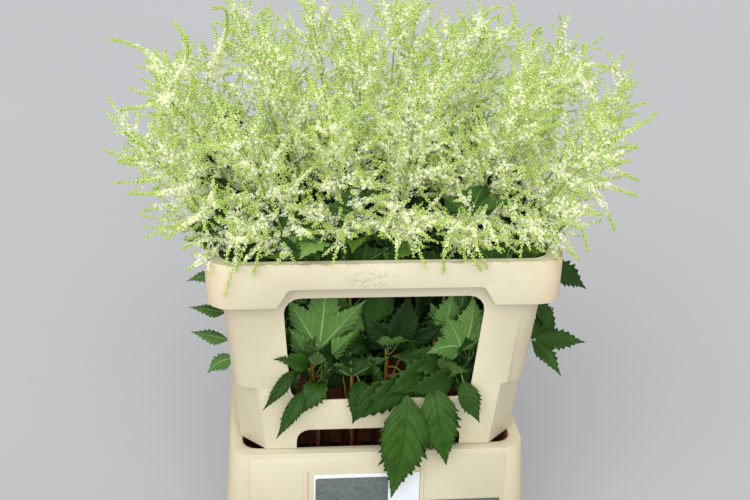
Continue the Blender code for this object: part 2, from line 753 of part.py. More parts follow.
def grow_branch(points, faces, face, branch):
    """Draws a branch out of a face of the axis: rings of floret tips, each turned from the last."""
    last = list(face)
    reference = points[face[0]] - branch.a
    for k, (t, share) in enumerate(BRANCH_RINGS):
        centre, ahead = branch.at(t), branch.along(t)
        reference = (reference - ahead * reference.dot(ahead)).normalized()
        if k > 0:
            reference = Matrix.Rotation(math.pi / 3, 3, ahead) @ reference
        now = []
        for i in range(3):
            now.append(len(points))
            turned = Matrix.Rotation(2 * math.pi * i / 3, 3, ahead) @ reference
            points.append(centre + turned * (FLORET_R * share))
        for i in range(3):
            j = (i + 1) % 3
            if k == 0:
                faces += [(last[i], last[j], now[j]), (last[i], now[j], now[i])]
            else:
                faces += [(last[i], last[j], now[i]), (last[j], now[j], now[i])]
        last = now
    tip = len(points)
    points.append(branch.at(1.0))
    faces += [(last[i], last[(i + 1) % 3], tip) for i in range(3)]


# The water, with a plain hole for each stem.


def make_water(stems, mat):
    inner_l = FOOT_L - 2 * BUCKET_WALL
    inner_w = FOOT_W - 2 * BUCKET_WALL
    grow_l = (RIM_L - 2 * RIM_LEDGE - inner_l) / (BUCKET_H - BUCKET_WALL)
    grow_w = (RIM_W - 2 * RIM_LEDGE - inner_w) / (BUCKET_H - BUCKET_WALL)
    rings = []
    for z in (BUCKET_WALL + GAP, WATER_LEVEL):
        up = z - BUCKET_WALL
        length = inner_l + grow_l * up - 4 * GAP
        width = inner_w + grow_w * up - 4 * GAP
        rings.append(rounded_ring(length, width, FOOT_CORNER - BUCKET_WALL - 0.001, z))
    water = loft("water", rings, False, mat)
    cutters = []
    for stem in stems:
        low = stem.at_height(BUCKET_WALL) - stem.along(0) * HOLE_SPARE
        high = stem.at_height(WATER_LEVEL) + stem.along(0) * HOLE_SPARE
        ahead = (high - low).normalized()
        ends = [ring_round(p, ahead, HOLE_R, STEM_SIDES, 0.0) for p in (low, high)]
        cutters.append(loft("hole", ends, False))
    boolean(water, "DIFFERENCE", cutters, "EXACT")
    return water


def main():
    clear_scene()
    plastic = material("bucket_plastic", CREAM_PLASTIC, 0.45)
    make_bucket(plastic)
    make_collar(material("collar_plastic", CREAM_PLASTIC, 0.45))
    make_card(material("card", CARD_WHITE, 0.6))
    make_strip(material("strip", STRIP_GREY, 0.6))

    rng = random.Random(11)
    stems = [Stem(row, place, rng) for row in range(ROWS) for place in range(PER_ROW)]
    make_water(stems, material("water", WATER_TINT, 0.1))
    green = material("stem_and_leaf", LEAF_GREEN, 0.6)
    cream = material("florets", PLUME_CREAM, 0.7)
    claims = Claims()
    for stem in stems:
        claims.add(stem.name, [stem.at(i / 140) for i in range(20, 141)])
    for row, place, height, near, mid, tip, side, scale, _, _ in LEAVES:
        if tip[2] > 0.5:
            owner = stems[row * PER_ROW + place]
            route = [owner.at_height(height), Vector(near), Vector(mid), Vector(tip)]
            across = Vector(side).normalized() * (0.013 * scale)
            for i in range(25):
                middle = bezier(route, i / 24)
                claims.add("leaf", [middle + across * way for way in (-2, -1, 0, 1, 2)])
    for index, stem in enumerate(stems):
        own = [leaf[2:] for leaf in LEAVES if leaf[0] * PER_ROW + leaf[1] == index]
        make_leafy_stem(stem, own, green)
    for stem in stems:
        points, faces = plume_branches(stem, rng, claims)
        object_from(f"plume_{stem.name}", points, faces, cream)


main()
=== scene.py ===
import math
import random

import bpy
import numpy as np
from mathutils import Matrix, Vector


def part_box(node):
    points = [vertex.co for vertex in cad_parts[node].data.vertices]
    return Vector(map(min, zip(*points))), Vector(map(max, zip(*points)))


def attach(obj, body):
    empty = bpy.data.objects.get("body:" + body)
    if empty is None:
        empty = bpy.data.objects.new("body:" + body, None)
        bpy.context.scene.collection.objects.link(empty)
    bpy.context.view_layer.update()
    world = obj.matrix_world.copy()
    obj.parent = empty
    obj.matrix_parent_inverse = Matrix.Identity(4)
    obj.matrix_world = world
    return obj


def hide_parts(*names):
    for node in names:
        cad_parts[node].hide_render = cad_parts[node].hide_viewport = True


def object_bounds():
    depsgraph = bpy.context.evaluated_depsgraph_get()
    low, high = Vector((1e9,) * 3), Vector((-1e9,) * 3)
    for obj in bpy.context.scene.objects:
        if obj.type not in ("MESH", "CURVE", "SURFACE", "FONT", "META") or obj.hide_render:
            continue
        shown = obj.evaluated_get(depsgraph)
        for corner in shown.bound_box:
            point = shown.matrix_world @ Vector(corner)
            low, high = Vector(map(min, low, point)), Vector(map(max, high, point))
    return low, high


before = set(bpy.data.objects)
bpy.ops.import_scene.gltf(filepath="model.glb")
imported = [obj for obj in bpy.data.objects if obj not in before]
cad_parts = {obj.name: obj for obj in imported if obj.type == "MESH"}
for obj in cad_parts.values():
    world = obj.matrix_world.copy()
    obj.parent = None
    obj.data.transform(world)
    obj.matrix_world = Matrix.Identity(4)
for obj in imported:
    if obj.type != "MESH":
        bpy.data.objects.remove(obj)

cad_box = [list(corner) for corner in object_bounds()]

# The camera, about 1.6 m from the middle of the bunch and 25 degrees above it, a little to the
# left. It is turned by 1.9 degrees, as the picture is.
bpy.ops.object.camera_add(location=(-0.1566, -1.4534, 1.167))
camera = bpy.context.object
camera.name = "camera"
picture_right = Vector((0.99513, -0.09385, 0.02998))
picture_up = Vector((0.01317, 0.42821, 0.90359))
looking_from = Vector((-0.09764, -0.89879, 0.42736))
turned = Matrix((picture_right, picture_up, looking_from)).transposed().to_4x4()
camera.matrix_world = Matrix.Translation(camera.location) @ turned
camera.data.lens = 57.6
camera.data.sensor_width = 36.0
bpy.context.scene.camera = camera


# The bucket: a tapered tub with a deep skirt, injection-moulded in cream polypropylene. It has been
# round the flower auction many times, so it is scuffed, grimy and a little yellow. Its cream is
# painted a little darker than the collar's, and its inside darker still: painted shade.


def only(*objects):
    """Selects these objects and nothing else."""
    bpy.ops.object.select_all(action="DESELECT")
    for obj in objects:
        obj.select_set(True)
    bpy.context.view_layer.objects.active = objects[0]


def edit_all(*steps):
    """Runs mesh operators, each with its settings, on the whole of the active object."""
    bpy.ops.object.mode_set(mode="EDIT")
    bpy.ops.mesh.select_all(action="SELECT")
    for step, settings in steps:
        step(**settings)
    bpy.ops.object.mode_set(mode="OBJECT")


def moulded_copy(node, name, radius):
    """A copy of a moulding's solid, with its loose triangles joined and its sharp edges rounded."""
    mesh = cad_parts[node].data.copy()
    mesh.name = name
    mesh.materials.clear()
    obj = bpy.data.objects.new(name, mesh)
    bpy.context.scene.collection.objects.link(obj)
    only(obj)
    edit_all(
        (bpy.ops.mesh.remove_doubles, {"threshold": 0.00002}),
        (bpy.ops.mesh.dissolve_limited, {"angle_limit": math.radians(0.6)}),
    )
    bevel = obj.modifiers.new("rounded_edges", "BEVEL")
    bevel.width = radius
    bevel.segments = 2
    bevel.limit_method = "ANGLE"
    bevel.angle_limit = math.radians(38)
    bpy.ops.object.modifier_apply(modifier=bevel.name)
    bpy.ops.object.shade_smooth_by_angle(angle=math.radians(32))
    return obj


def linear(code):
    """An sRGB hex colour as the linear values that a shader takes."""
    parts = [int(code[i : i + 2], 16) / 255 for i in (1, 3, 5)]
    return (*[p / 12.92 if p <= 0.04045 else ((p + 0.055) / 1.055) ** 2.4 for p in parts], 1.0)


def feed(node, values):
    """Sets a node's inputs, by name or number. A value that is a socket is linked."""
    for name, value in values.items():
        if isinstance(value, bpy.types.NodeSocket):
            node.id_data.links.new(value, node.inputs[name])
        else:
            node.inputs[name].default_value = value


def add(mat, kind, values, give=0, stops=(), **settings):
    """Adds one node and gives back one of its outputs. Values are a dictionary as for feed, or a
    tuple in the order of the inputs. Stops are the places and colours of a colour ramp."""
    node = mat.node_tree.nodes.new("ShaderNode" + kind)
    for name, value in settings.items():
        setattr(node, name, value)
    feed(node, values if isinstance(values, dict) else dict(enumerate(values)))
    for k, (place, code) in enumerate(stops):
        elements = node.color_ramp.elements
        element = elements[k] if k < 2 else elements.new(place)
        element.position = place
        element.color = linear(code)
    return node.outputs[give]


def new_material(name):
    """A new Principled material, its shader, and where each point lies on its object."""
    mat = bpy.data.materials.new(name)
    mat.use_nodes = True
    return mat, mat.node_tree.nodes["Principled BSDF"], add(mat, "TexCoord", {}, "Object")


def cream_polypropylene(name, pale, deep, stains_and_ledge_light):
    """Moulded polypropylene: a satin skin, cloudy cream, with painted light tinting the thin ends warm as if
    lit through, scuffed and grimy, painted darker inside as shade, and stained by sap at the bottom. The
    collar has a few marks of its own as well, and a ledge painted paler as light."""
    mat, shader, place = new_material(name)
    facing = add(mat, "NewGeometry", {}, "Normal")
    xyz = add(mat, "SeparateXYZ", (place,)).node.outputs
    cloud = add(mat, "TexNoise", {"Vector": place, "Scale": 7, "Detail": 3})
    colour = add(mat, "ValToRGB", (cloud,), stops=((0.3, deep), (0.7, pale)))
    # Painted light: the thin ends are tinted warm, as if lit through from behind.
    ends = add(mat, "Math", (xyz["X"],), operation="ABSOLUTE")
    painted_glow = add(mat, "MapRange", (ends, 0.165, 0.222, 0, 0.42), interpolation_type="SMOOTHSTEP")
    # Scuffs are a few tenths of a millimetre wide on the real one, and drawn twice as wide here.
    stretched = add(mat, "Mapping", {"Vector": place, "Scale": (14, 14, 90), "Rotation": (0.2, 0.5, 0.3)})
    scratch = add(mat, "TexNoise", {"Vector": stretched, "Scale": 3, "Detail": 6})
    scuffed = add(mat, "MapRange", (scratch, 0.64, 0.76, 0, 0.16))
    grime = add(mat, "TexNoise", {"Vector": place, "Scale": 26, "Detail": 5, "Roughness": 0.7})
    dirty = add(mat, "MapRange", (grime, 0.6, 0.78, 0, 0.22))
    layers = [(painted_glow, "#DDBB99"), (scuffed, "#B9A984"), (dirty, "#A89A78")]
    if stains_and_ledge_light:
        # The mould lies on the front of the band, left of its middle, and is 60 mm long.
        mould_place, narrowing = (-0.02, -0.17, 0.517), (26, 40, 62)
        spot = add(mat, "VectorMath", (place, mould_place), operation="SUBTRACT")
        spread = add(mat, "VectorMath", (spot, narrowing), operation="MULTIPLY")
        far = add(mat, "VectorMath", (spread,), "Value", operation="LENGTH")
        near = add(mat, "MapRange", (far, 0.45, 1, 1, 0))
        specks = add(mat, "TexNoise", {"Vector": place, "Scale": 120, "Detail": 3})
        middling = add(mat, "Math", (specks, 0.53), operation="SUBTRACT")
        thread = add(mat, "Math", (middling,), operation="ABSOLUTE")
        threads = add(mat, "MapRange", (thread, 0.004, 0.028, 0.62, 0))
        mould = add(mat, "Math", (near, threads), operation="MULTIPLY")
        # The up-facing ledge behind the lip is painted paler: painted light. The ramp reads the height in
        # metres.
        black, white = "#000000", "#FFFFFF"
        ledge = ((0.534, black), (0.5346, white), (0.536, white), (0.5368, black))
        level = add(mat, "ValToRGB", (xyz["Z"],), stops=ledge)
        upwards = add(mat, "SeparateXYZ", (facing,), "Z")
        flat = add(mat, "MapRange", (upwards, 0.5, 0.9, 0, 1))
        painted_ledge_light = add(mat, "Math", (level, flat), operation="MULTIPLY")
        # Brown smears of sap along the lip of the rim.
        lip = add(mat, "MapRange", (xyz["Z"], 0.536, 0.5374, 0, 1))
        smears = add(mat, "MapRange", (grime, 0.5, 0.58, 0, 0.55))
        smeared = add(mat, "Math", (lip, smears), operation="MULTIPLY")
        # The round mark of an ejector pin, 7 mm wide, on the sill under the window.
        pin_place = (-0.0715, -0.14, 0.311)
        aside = add(mat, "VectorMath", (place, pin_place), "Value", operation="DISTANCE")
        pin = add(mat, "MapRange", (aside, 0.003, 0.004, 0.55, 0))
        layers += [(mould, "#6B6350"), (painted_ledge_light, "#FAF2D2"), (smeared, "#8A6C4C"), (pin, "#D3CEBD")]
    for mask, code in layers:
        colour = add(mat, "Mix", {0: mask, 6: colour, 7: linear(code)}, 2, data_type="RGBA")
    # Inside is where a face looks back towards the middle of the tub. Inside faces are painted darker, more
    # so deeper down: painted shade.
    spoke = add(mat, "VectorMath", (place, (1, 1, 0)), operation="MULTIPLY")
    outwards = add(mat, "VectorMath", (spoke, facing), "Value", operation="DOT_PRODUCT")
    inside = add(mat, "MapRange", (outwards, -0.06, -0.02, 1, 0))
    deep_down = add(mat, "MapRange", (xyz["Z"], 0.36, 0.53, 0.92, 0))
    inside_shade_and_stain = add(mat, "Math", (inside, deep_down), operation="MULTIPLY")
    # The inside is painted dark brown as shade, and the lowest part is stained red-brown by sap. The ramp
    # reads the height in metres.
    sap_and_shade = add(mat, "ValToRGB", (xyz["Z"],), stops=((0.29, "#8A4526"), (0.34, "#43301F")))
    colour = add(mat, "Mix", {0: inside_shade_and_stain, 6: colour, 7: sap_and_shade}, 2, data_type="RGBA")
    grain = add(mat, "TexNoise", {"Vector": place, "Scale": 420, "Detail": 2})
    height = add(mat, "Math", (scratch, grain), operation="ADD")
    bump = add(mat, "Bump", {"Height": height, "Strength": 0.1, "Distance": 0.0006})
    feed(shader, {"Base Color": colour, "Normal": bump, "Roughness": 0.46, "IOR": 1.49})
    return mat


bucket = moulded_copy("bucket", "flower_bucket", 0.0009)
# The bucket's creams are painted a little darker than the collar's: painted shade, against the extra light
# on its backward-leaning skirt.
plastic = cream_polypropylene("moulded_polypropylene_bucket", "#C1BAA1", "#B7AF93", False)
bucket.data.materials.append(plastic)
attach(bucket, "root")
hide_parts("bucket")


# The collar: one moulding of the same cream polypropylene. It stands loose on the bucket's rim and
# spreads the bunch, and its wide band carries the next bucket of a stack.
collar = moulded_copy("collar", "slotted_collar", 0.001)
plastic = cream_polypropylene("moulded_polypropylene_collar", "#CCC5AB", "#C2BA9C", True)
collar.data.materials.append(plastic)
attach(collar, "root")
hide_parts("collar")


# The label card: a stiff white card, with a dark grey panel on its left two thirds. It is pushed
# down behind two rails on the skirt, and left blank.
card = moulded_copy("label_card", "blank_label_card", 0.0002)
low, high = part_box("label_card")
paper, shader, place = new_material("coated_white_card")
panel_middle, panel_half = (low.x + 0.0505, 0.0, high.z - 0.0335), (0.0485, 1.0, 0.0285)
corner = 0.004
soft_edge = 0.0003
without_corner = tuple(half - corner for half in panel_half)
from_middle = add(paper, "VectorMath", (place, panel_middle), operation="SUBTRACT")
folded = add(paper, "VectorMath", (from_middle,), operation="ABSOLUTE")
over = add(paper, "VectorMath", (folded, without_corner), operation="SUBTRACT")
outside = add(paper, "VectorMath", (over, (0, 0, 0)), operation="MAXIMUM")
off = add(paper, "VectorMath", (outside,), "Value", operation="LENGTH")
printed = add(paper, "MapRange", (off, corner, corner + soft_edge, 1, 0))
rub = add(paper, "TexNoise", {"Vector": place, "Scale": 160, "Detail": 6, "Roughness": 0.8})
ink = add(paper, "ValToRGB", (rub,), stops=((0.35, "#474F4D"), (0.72, "#646D6A")))
white = add(paper, "ValToRGB", (rub,), stops=((0.3, "#C9CFD4"), (0.7, "#D9DCDF")))
face = add(paper, "Mix", {0: printed, 6: white, 7: ink}, 2, data_type="RGBA")
feed(shader, {"Base Color": face, "Roughness": 0.42})
card.data.materials.append(paper)
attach(card, "root")
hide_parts("label_card")


# The strip: a dark blue-grey sticker of matt vinyl, rubbed pale in places and left blank. It is
# stuck to the skirt, right of the card.
strip = moulded_copy("label_strip", "blank_label_strip", 0.0002)
vinyl, shader, place = new_material("matt_vinyl_sticker")
rub = add(vinyl, "TexNoise", {"Vector": place, "Scale": 120, "Detail": 6, "Roughness": 0.8})
faded = add(vinyl, "ValToRGB", (rub,), stops=((0.35, "#34424A"), (0.75, "#5D6971")))
feed(shader, {"Base Color": faded, "Roughness": 0.5})
strip.data.materials.append(vinyl)
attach(strip, "root")
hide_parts("label_strip")


# The water: clear and still, with a little green from the cut stems. The solid keeps its shape, and
# its surface gets a very faint ripple.
tinted, shader, place = new_material("still_water")
drift = add(tinted, "TexNoise", {"Vector": place, "Scale": 18, "Detail": 2})
cloudy = add(tinted, "ValToRGB", (drift,), stops=((0.3, "#B9C4A0"), (0.7, "#CBD3B4")))
ripple = add(tinted, "Bump", {"Height": drift, "Strength": 0.05, "Distance": 0.001})
feed(shader, {"Base Color": cloudy, "Normal": ripple, "Roughness": 0.03, "IOR": 1.333})
feed(shader, {"Transmission Weight": 1})
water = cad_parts["water"]
water.data.materials.clear()
water.data.materials.append(tinted)


# The leafy stems: 24 cut flowering stems in four rows. A stem is a little rounder than a straw,
# red-brown and woody at its foot and green above. The seed and the sizes are those of the solids.
FOOT, WAIST, HEAD = (0.126, 0.08), (0.096, 0.066), (0.306, 0.196)
WATER_FOOT_Z, WAIST_Z = 0.0042, 0.48
PLUME_LENGTH = 0.235


def bow(foot, middle, tip, t):
    """Points on a curve from foot to tip, pulled by its middle, for places t from 0 to 1."""
    t = np.asarray(t, float)[..., None]
    return foot * (1 - t) ** 2 + middle * 2 * t * (1 - t) + tip * t**2


def run_of(line):
    """The distance from the start of a line of points to each of them."""
    return np.concatenate([[0.0], np.cumsum(np.linalg.norm(np.diff(line, axis=0), axis=1))])


def between(x, run, line):
    """The points of a line at x, where run holds the x of each of its points."""
    return np.array([np.interp(x, run, line[:, k]) for k in range(3)]).T


rng = random.Random(11)
stems = {}
for row in range(4):
    for column in range(6):
        v = -1 + 2 * row / 3
        u = -1 + 2 * column / 5
        u = u * 0.91 + (0.07 if row % 2 else -0.07) + rng.uniform(-0.03, 0.03)
        v += rng.uniform(-0.06, 0.06)
        head_z = 0.79 - 0.066 * u * u - 0.03 * v * v + rng.uniform(-0.022, 0.022)
        levels = ((FOOT, WATER_FOOT_Z), (WAIST, WAIST_Z), (HEAD, head_z))
        axis = np.array([(half[0] * u, half[1] * v, z) for half, z in levels])
        steps = np.linspace(0, 1, 101)
        run = run_of(bow(*axis, steps))
        split = float(np.interp(run[-1] - PLUME_LENGTH * rng.uniform(0.93, 1.07), run, steps))
        stems[f"{row + 1}{column + 1}"] = (axis, split)


def on_stem(stem, t):
    return bow(*stem[0], t)


def at_height(stem, z):
    """The point of a stem at this height."""
    line = on_stem(stem, np.linspace(0, 1, 400))
    return between(z, line[:, 2], line)


def unit(vectors):
    return vectors / np.maximum(np.linalg.norm(vectors, axis=-1, keepdims=True), 1e-12)


def across_from(ahead):
    """A way at right angles to another. No stalk runs along the fixed way that it is crossed with."""
    return unit(np.cross(ahead, (0.31, 0.17, 0.93)))


def out_from(ahead, turn):
    """The way out of a stalk, turned about it by an angle."""
    across, turn = across_from(ahead), np.asarray(turn)[..., None]
    return across * np.cos(turn) + np.cross(ahead, across) * np.sin(turn)


class Growth:
    """Collects the parts of one piece: corners, triangles, a UV for each triangle's corners, a
    material for each triangle, and a number for each corner that its materials read."""

    def __init__(self):
        self.points, self.triangles, self.uvs, self.slots, self.tones = [], [], [], [], []
        self.count = 0

    def put(self, points, triangles, uvs, slots, tones):
        self.points.append(points)
        self.triangles.append(triangles + self.count)
        self.uvs.append(np.zeros((len(triangles), 3, 2)) if uvs is None else uvs)
        self.slots.append(np.broadcast_to(slots, len(triangles)))
        self.tones.append(np.broadcast_to(tones, len(points)))
        self.count += len(points)

    def finish(self, name, attribute, materials):
        mesh = bpy.data.meshes.new(name)
        triangles = np.concatenate(self.triangles)
        points = np.concatenate(self.points)
        mesh.from_pydata(points.tolist(), [], triangles.tolist(), shade_flat=False)
        layer = mesh.uv_layers.new(name="UVMap")
        layer.data.foreach_set("uv", np.concatenate(self.uvs).astype(np.float32).ravel())
        mesh.polygons.foreach_set("material_index", np.concatenate(self.slots).astype(np.int32))
        held = mesh.attributes.new(attribute, "FLOAT", "POINT")
        held.data.foreach_set("value", np.concatenate(self.tones).astype(np.float32))
        for material in materials:
            mesh.materials.append(material)
        mesh.update()
        obj = bpy.data.objects.new(name, mesh)
        bpy.context.scene.collection.objects.link(obj)
        return obj


def tube(growth, line, radii, sides, slot, tones, closed=True):
    """A round stalk along a line of points, closed at both ends unless they are out of sight."""
    ahead = unit(np.gradient(line, axis=0))[:, None]
    angles = np.arange(sides) * 2 * math.pi / sides
    rings = line[:, None] + radii[:, None, None] * out_from(ahead, angles)
    points = np.concatenate([rings.reshape(-1, 3), line[:1], line[-1:]])
    triangles = []
    n = len(line)
    for k in range(n - 1):
        for i in range(sides):
            a, b = k * sides + i, k * sides + (i + 1) % sides
            triangles += [(a, b, b + sides), (a, b + sides, a + sides)]
    for i in range(sides if closed else 0):
        j = (i + 1) % sides
        triangles += [(j, i, n * sides), ((n - 1) * sides + i, (n - 1) * sides + j, n * sides + 1)]
    triangles = np.array(triangles)
    tones = np.concatenate([np.repeat(np.broadcast_to(tones, n), sides), [0.0, 1.0]])
    growth.put(points, triangles, None, slot, tones)


def as_arrays(obj):
    """The corners and triangles of a modelled object, which is then removed."""
    only(obj)
    edit_all((bpy.ops.mesh.quads_convert_to_tris, {}))
    points = np.array([v.co for v in obj.data.vertices])
    triangles = np.array([p.vertices for p in obj.data.polygons])
    bpy.data.objects.remove(obj)
    return points, triangles


# A leaflet of the compound leaves: modelled once, one unit long, as a grid whose cross lines run out
# along the side veins to the saw teeth, puffed up between the veins, then given its thickness. Its
# UV holds the distance from the midrib, and the distance from the nearest side vein.
# A leaflet is widest two fifths of the way along, and ends in a long drawn-out tip.
ALONG = (0.0, 0.05, 0.13, 0.25, 0.38, 0.5, 0.6, 0.69, 0.78, 0.87, 0.94, 1.0)
HALF_WIDTH = (0.03, 0.22, 0.6, 0.92, 1.0, 0.93, 0.76, 0.54, 0.32, 0.17, 0.08, 0.0)
# For each step along a tooth: how far the edge reaches, how far forward, and the vein's distance.
saw = {
    4: ((0.86, 0.0, 0.5), (0.99, 0.014, 1.0), (0.93, 0.01, 0.5), (1.13, 0.04, 0.0)),
    2: ((0.86, 0.0, 1.0), (1.12, 0.036, 0.0)),
}


def model_leaflet(teeth, steps_a_tooth, across, thickness):
    long = teeth * steps_a_tooth
    bpy.ops.mesh.primitive_grid_add(x_subdivisions=long, y_subdivisions=2 * across, size=1)
    leaflet = bpy.context.object
    mesh = leaflet.data
    uneven = random.Random(17)
    jag = {(i, sign): uneven.uniform(0.55, 1.35) for i in range(long + 1) for sign in (-1, 1)}
    cells = {}
    for vertex in mesh.vertices:
        i = round((vertex.co.x + 0.5) * long)
        j = round((vertex.co.y + 0.5) * 2 * across) - across
        cells[vertex.index] = (i, j)
        reach, forward, between = saw[steps_a_tooth][i % steps_a_tooth]
        along = 0.03 + 0.97 * i / long
        half = float(np.interp(along, ALONG, HALF_WIDTH)) / 2
        out = abs(j) / across
        sign = math.copysign(1, j)
        # Only the edge is toothed, and its teeth are uneven.
        tooth = jag[(i, sign)] if abs(j) == across else 0.0
        rib = max(along - 0.6 * half, 0.3 * along)
        vertex.co.x = rib + (along - rib) * out + forward * tooth * min(1, 3 * half)
        vertex.co.y = sign * half * out * (1 + (reach - 1) * tooth)
        vertex.co.z = 0.012 * between * math.sin(math.pi * min(out, 0.93)) * min(1, half / 0.25)
    uv = mesh.uv_layers.active
    for loop in mesh.loops:
        i, j = cells[loop.vertex_index]
        uv.data[loop.index].uv = (abs(j) / across, saw[steps_a_tooth][i % steps_a_tooth][2])
    mesh.materials.append(None)
    mesh.materials.append(None)
    only(leaflet)
    solidify = leaflet.modifiers.new("blade", "SOLIDIFY")
    solidify.thickness = thickness
    solidify.offset = 0.0
    solidify.material_offset = 1
    bpy.ops.object.modifier_apply(modifier=solidify.name)
    edit_all((bpy.ops.mesh.quads_convert_to_tris, {}))
    mesh = leaflet.data
    layer = mesh.uv_layers.active.data
    uvs = np.array([[layer[c].uv for c in p.loop_indices] for p in mesh.polygons])
    slots = np.array([p.material_index for p in mesh.polygons])
    return *as_arrays(leaflet), uvs, slots


fine_leaflet = model_leaflet(10, 4, 3, 0.006)
plain_leaflet = model_leaflet(9, 2, 2, 0.007)
inner_leaflet = model_leaflet(6, 2, 1, 0.008)


def inside_collar(points):
    """Presses a leaf's points against the collar's sloping walls, and lets it lean over the rim."""
    foot_z, rim_z, half_foot = 0.25, 0.548, (0.177, 0.127)
    wall_slope, over_rim_slope = 0.085, 1.6
    z = points[:, 2]
    spread = wall_slope * (np.minimum(z, rim_z) - foot_z) + over_rim_slope * np.maximum(z - rim_z, 0.0)
    half = np.stack([half_foot[0] + spread, half_foot[1] + spread], 1)
    points[:, :2] = np.clip(points[:, :2], -half, half)
    return points


def grow_leaf(growth, route, side, scale, breadth, pairs, tone, model, turn_out, held):
    """A compound leaf along its route: a stalk, an end leaflet and pairs of side leaflets, laid out
    flat and then bent along the route. turn_out is how far the side leaflets turn from the stalk."""
    t = np.linspace(0, 1, 61)[:, None]
    a, b, c, d = [np.asarray(p, float) for p in route]
    line = a * (1 - t) ** 3 + b * 3 * t * (1 - t) ** 2 + c * 3 * t * t * (1 - t) + d * t**3
    run = run_of(line)
    total = run[-1]
    ahead = unit(np.gradient(line, axis=0))
    side = unit(np.asarray(side, float))
    across = unit(side - ahead * (ahead @ side)[:, None])
    normal = np.cross(ahead, across)
    end_length = min(0.105 * scale, total * 0.68)
    stalk = total - end_length

    def bent(flat):
        x = np.clip(flat[:, 0], 0, total)
        spots, forward, sideways, upwards = [between(x, run, f) for f in (line, ahead, across, normal)]
        spots = spots + forward * (flat[:, 0] - x)[:, None]
        return spots + sideways * flat[:, 1:2] + upwards * flat[:, 2:3]

    leaflets = [(stalk, 0.0, 0.0, end_length, 0.0)]
    for pair in range(pairs):
        start = stalk - (0.006 + 0.032 * pair) * scale
        length = end_length * (0.86 - 0.12 * pair)
        for sign in (-1, 1):
            leaflets.append((start, sign * 0.0007, sign * math.radians(turn_out), length, 0.1))
    points, triangles, uvs, slots = model
    for number, (x, y, turn, length, droop) in enumerate(leaflets):
        flat = points * (length, length * breadth, length)
        # Folded up along the midrib, wavy at its edges, and drooping where it is a side leaflet.
        wave = np.sin(9.0 * points[:, 0] + 40.0 * total + 2.0 * number) * (2 * points[:, 1]) ** 2
        flat[:, 2] += 0.28 * np.abs(flat[:, 1]) + length * (0.03 * wave - droop * points[:, 0] ** 2)
        cos, sin = math.cos(turn), math.sin(turn)
        turned = (x + flat[:, 0] * cos - flat[:, 1] * sin, y + flat[:, 0] * sin + flat[:, 1] * cos)
        placed = bent(np.stack([*turned, flat[:, 2]], 1))
        growth.put(inside_collar(placed) if held else placed, triangles, uvs, slots, tone)
    places = line[run <= stalk + end_length * 0.06][::4]
    if len(places) > 1:
        greening = np.interp(places[:, 2], (0.3, 0.36), (0.25, 0.95))
        tube(growth, places, np.linspace(0.0013, 0.0006, len(places)), 5, 2, greening)


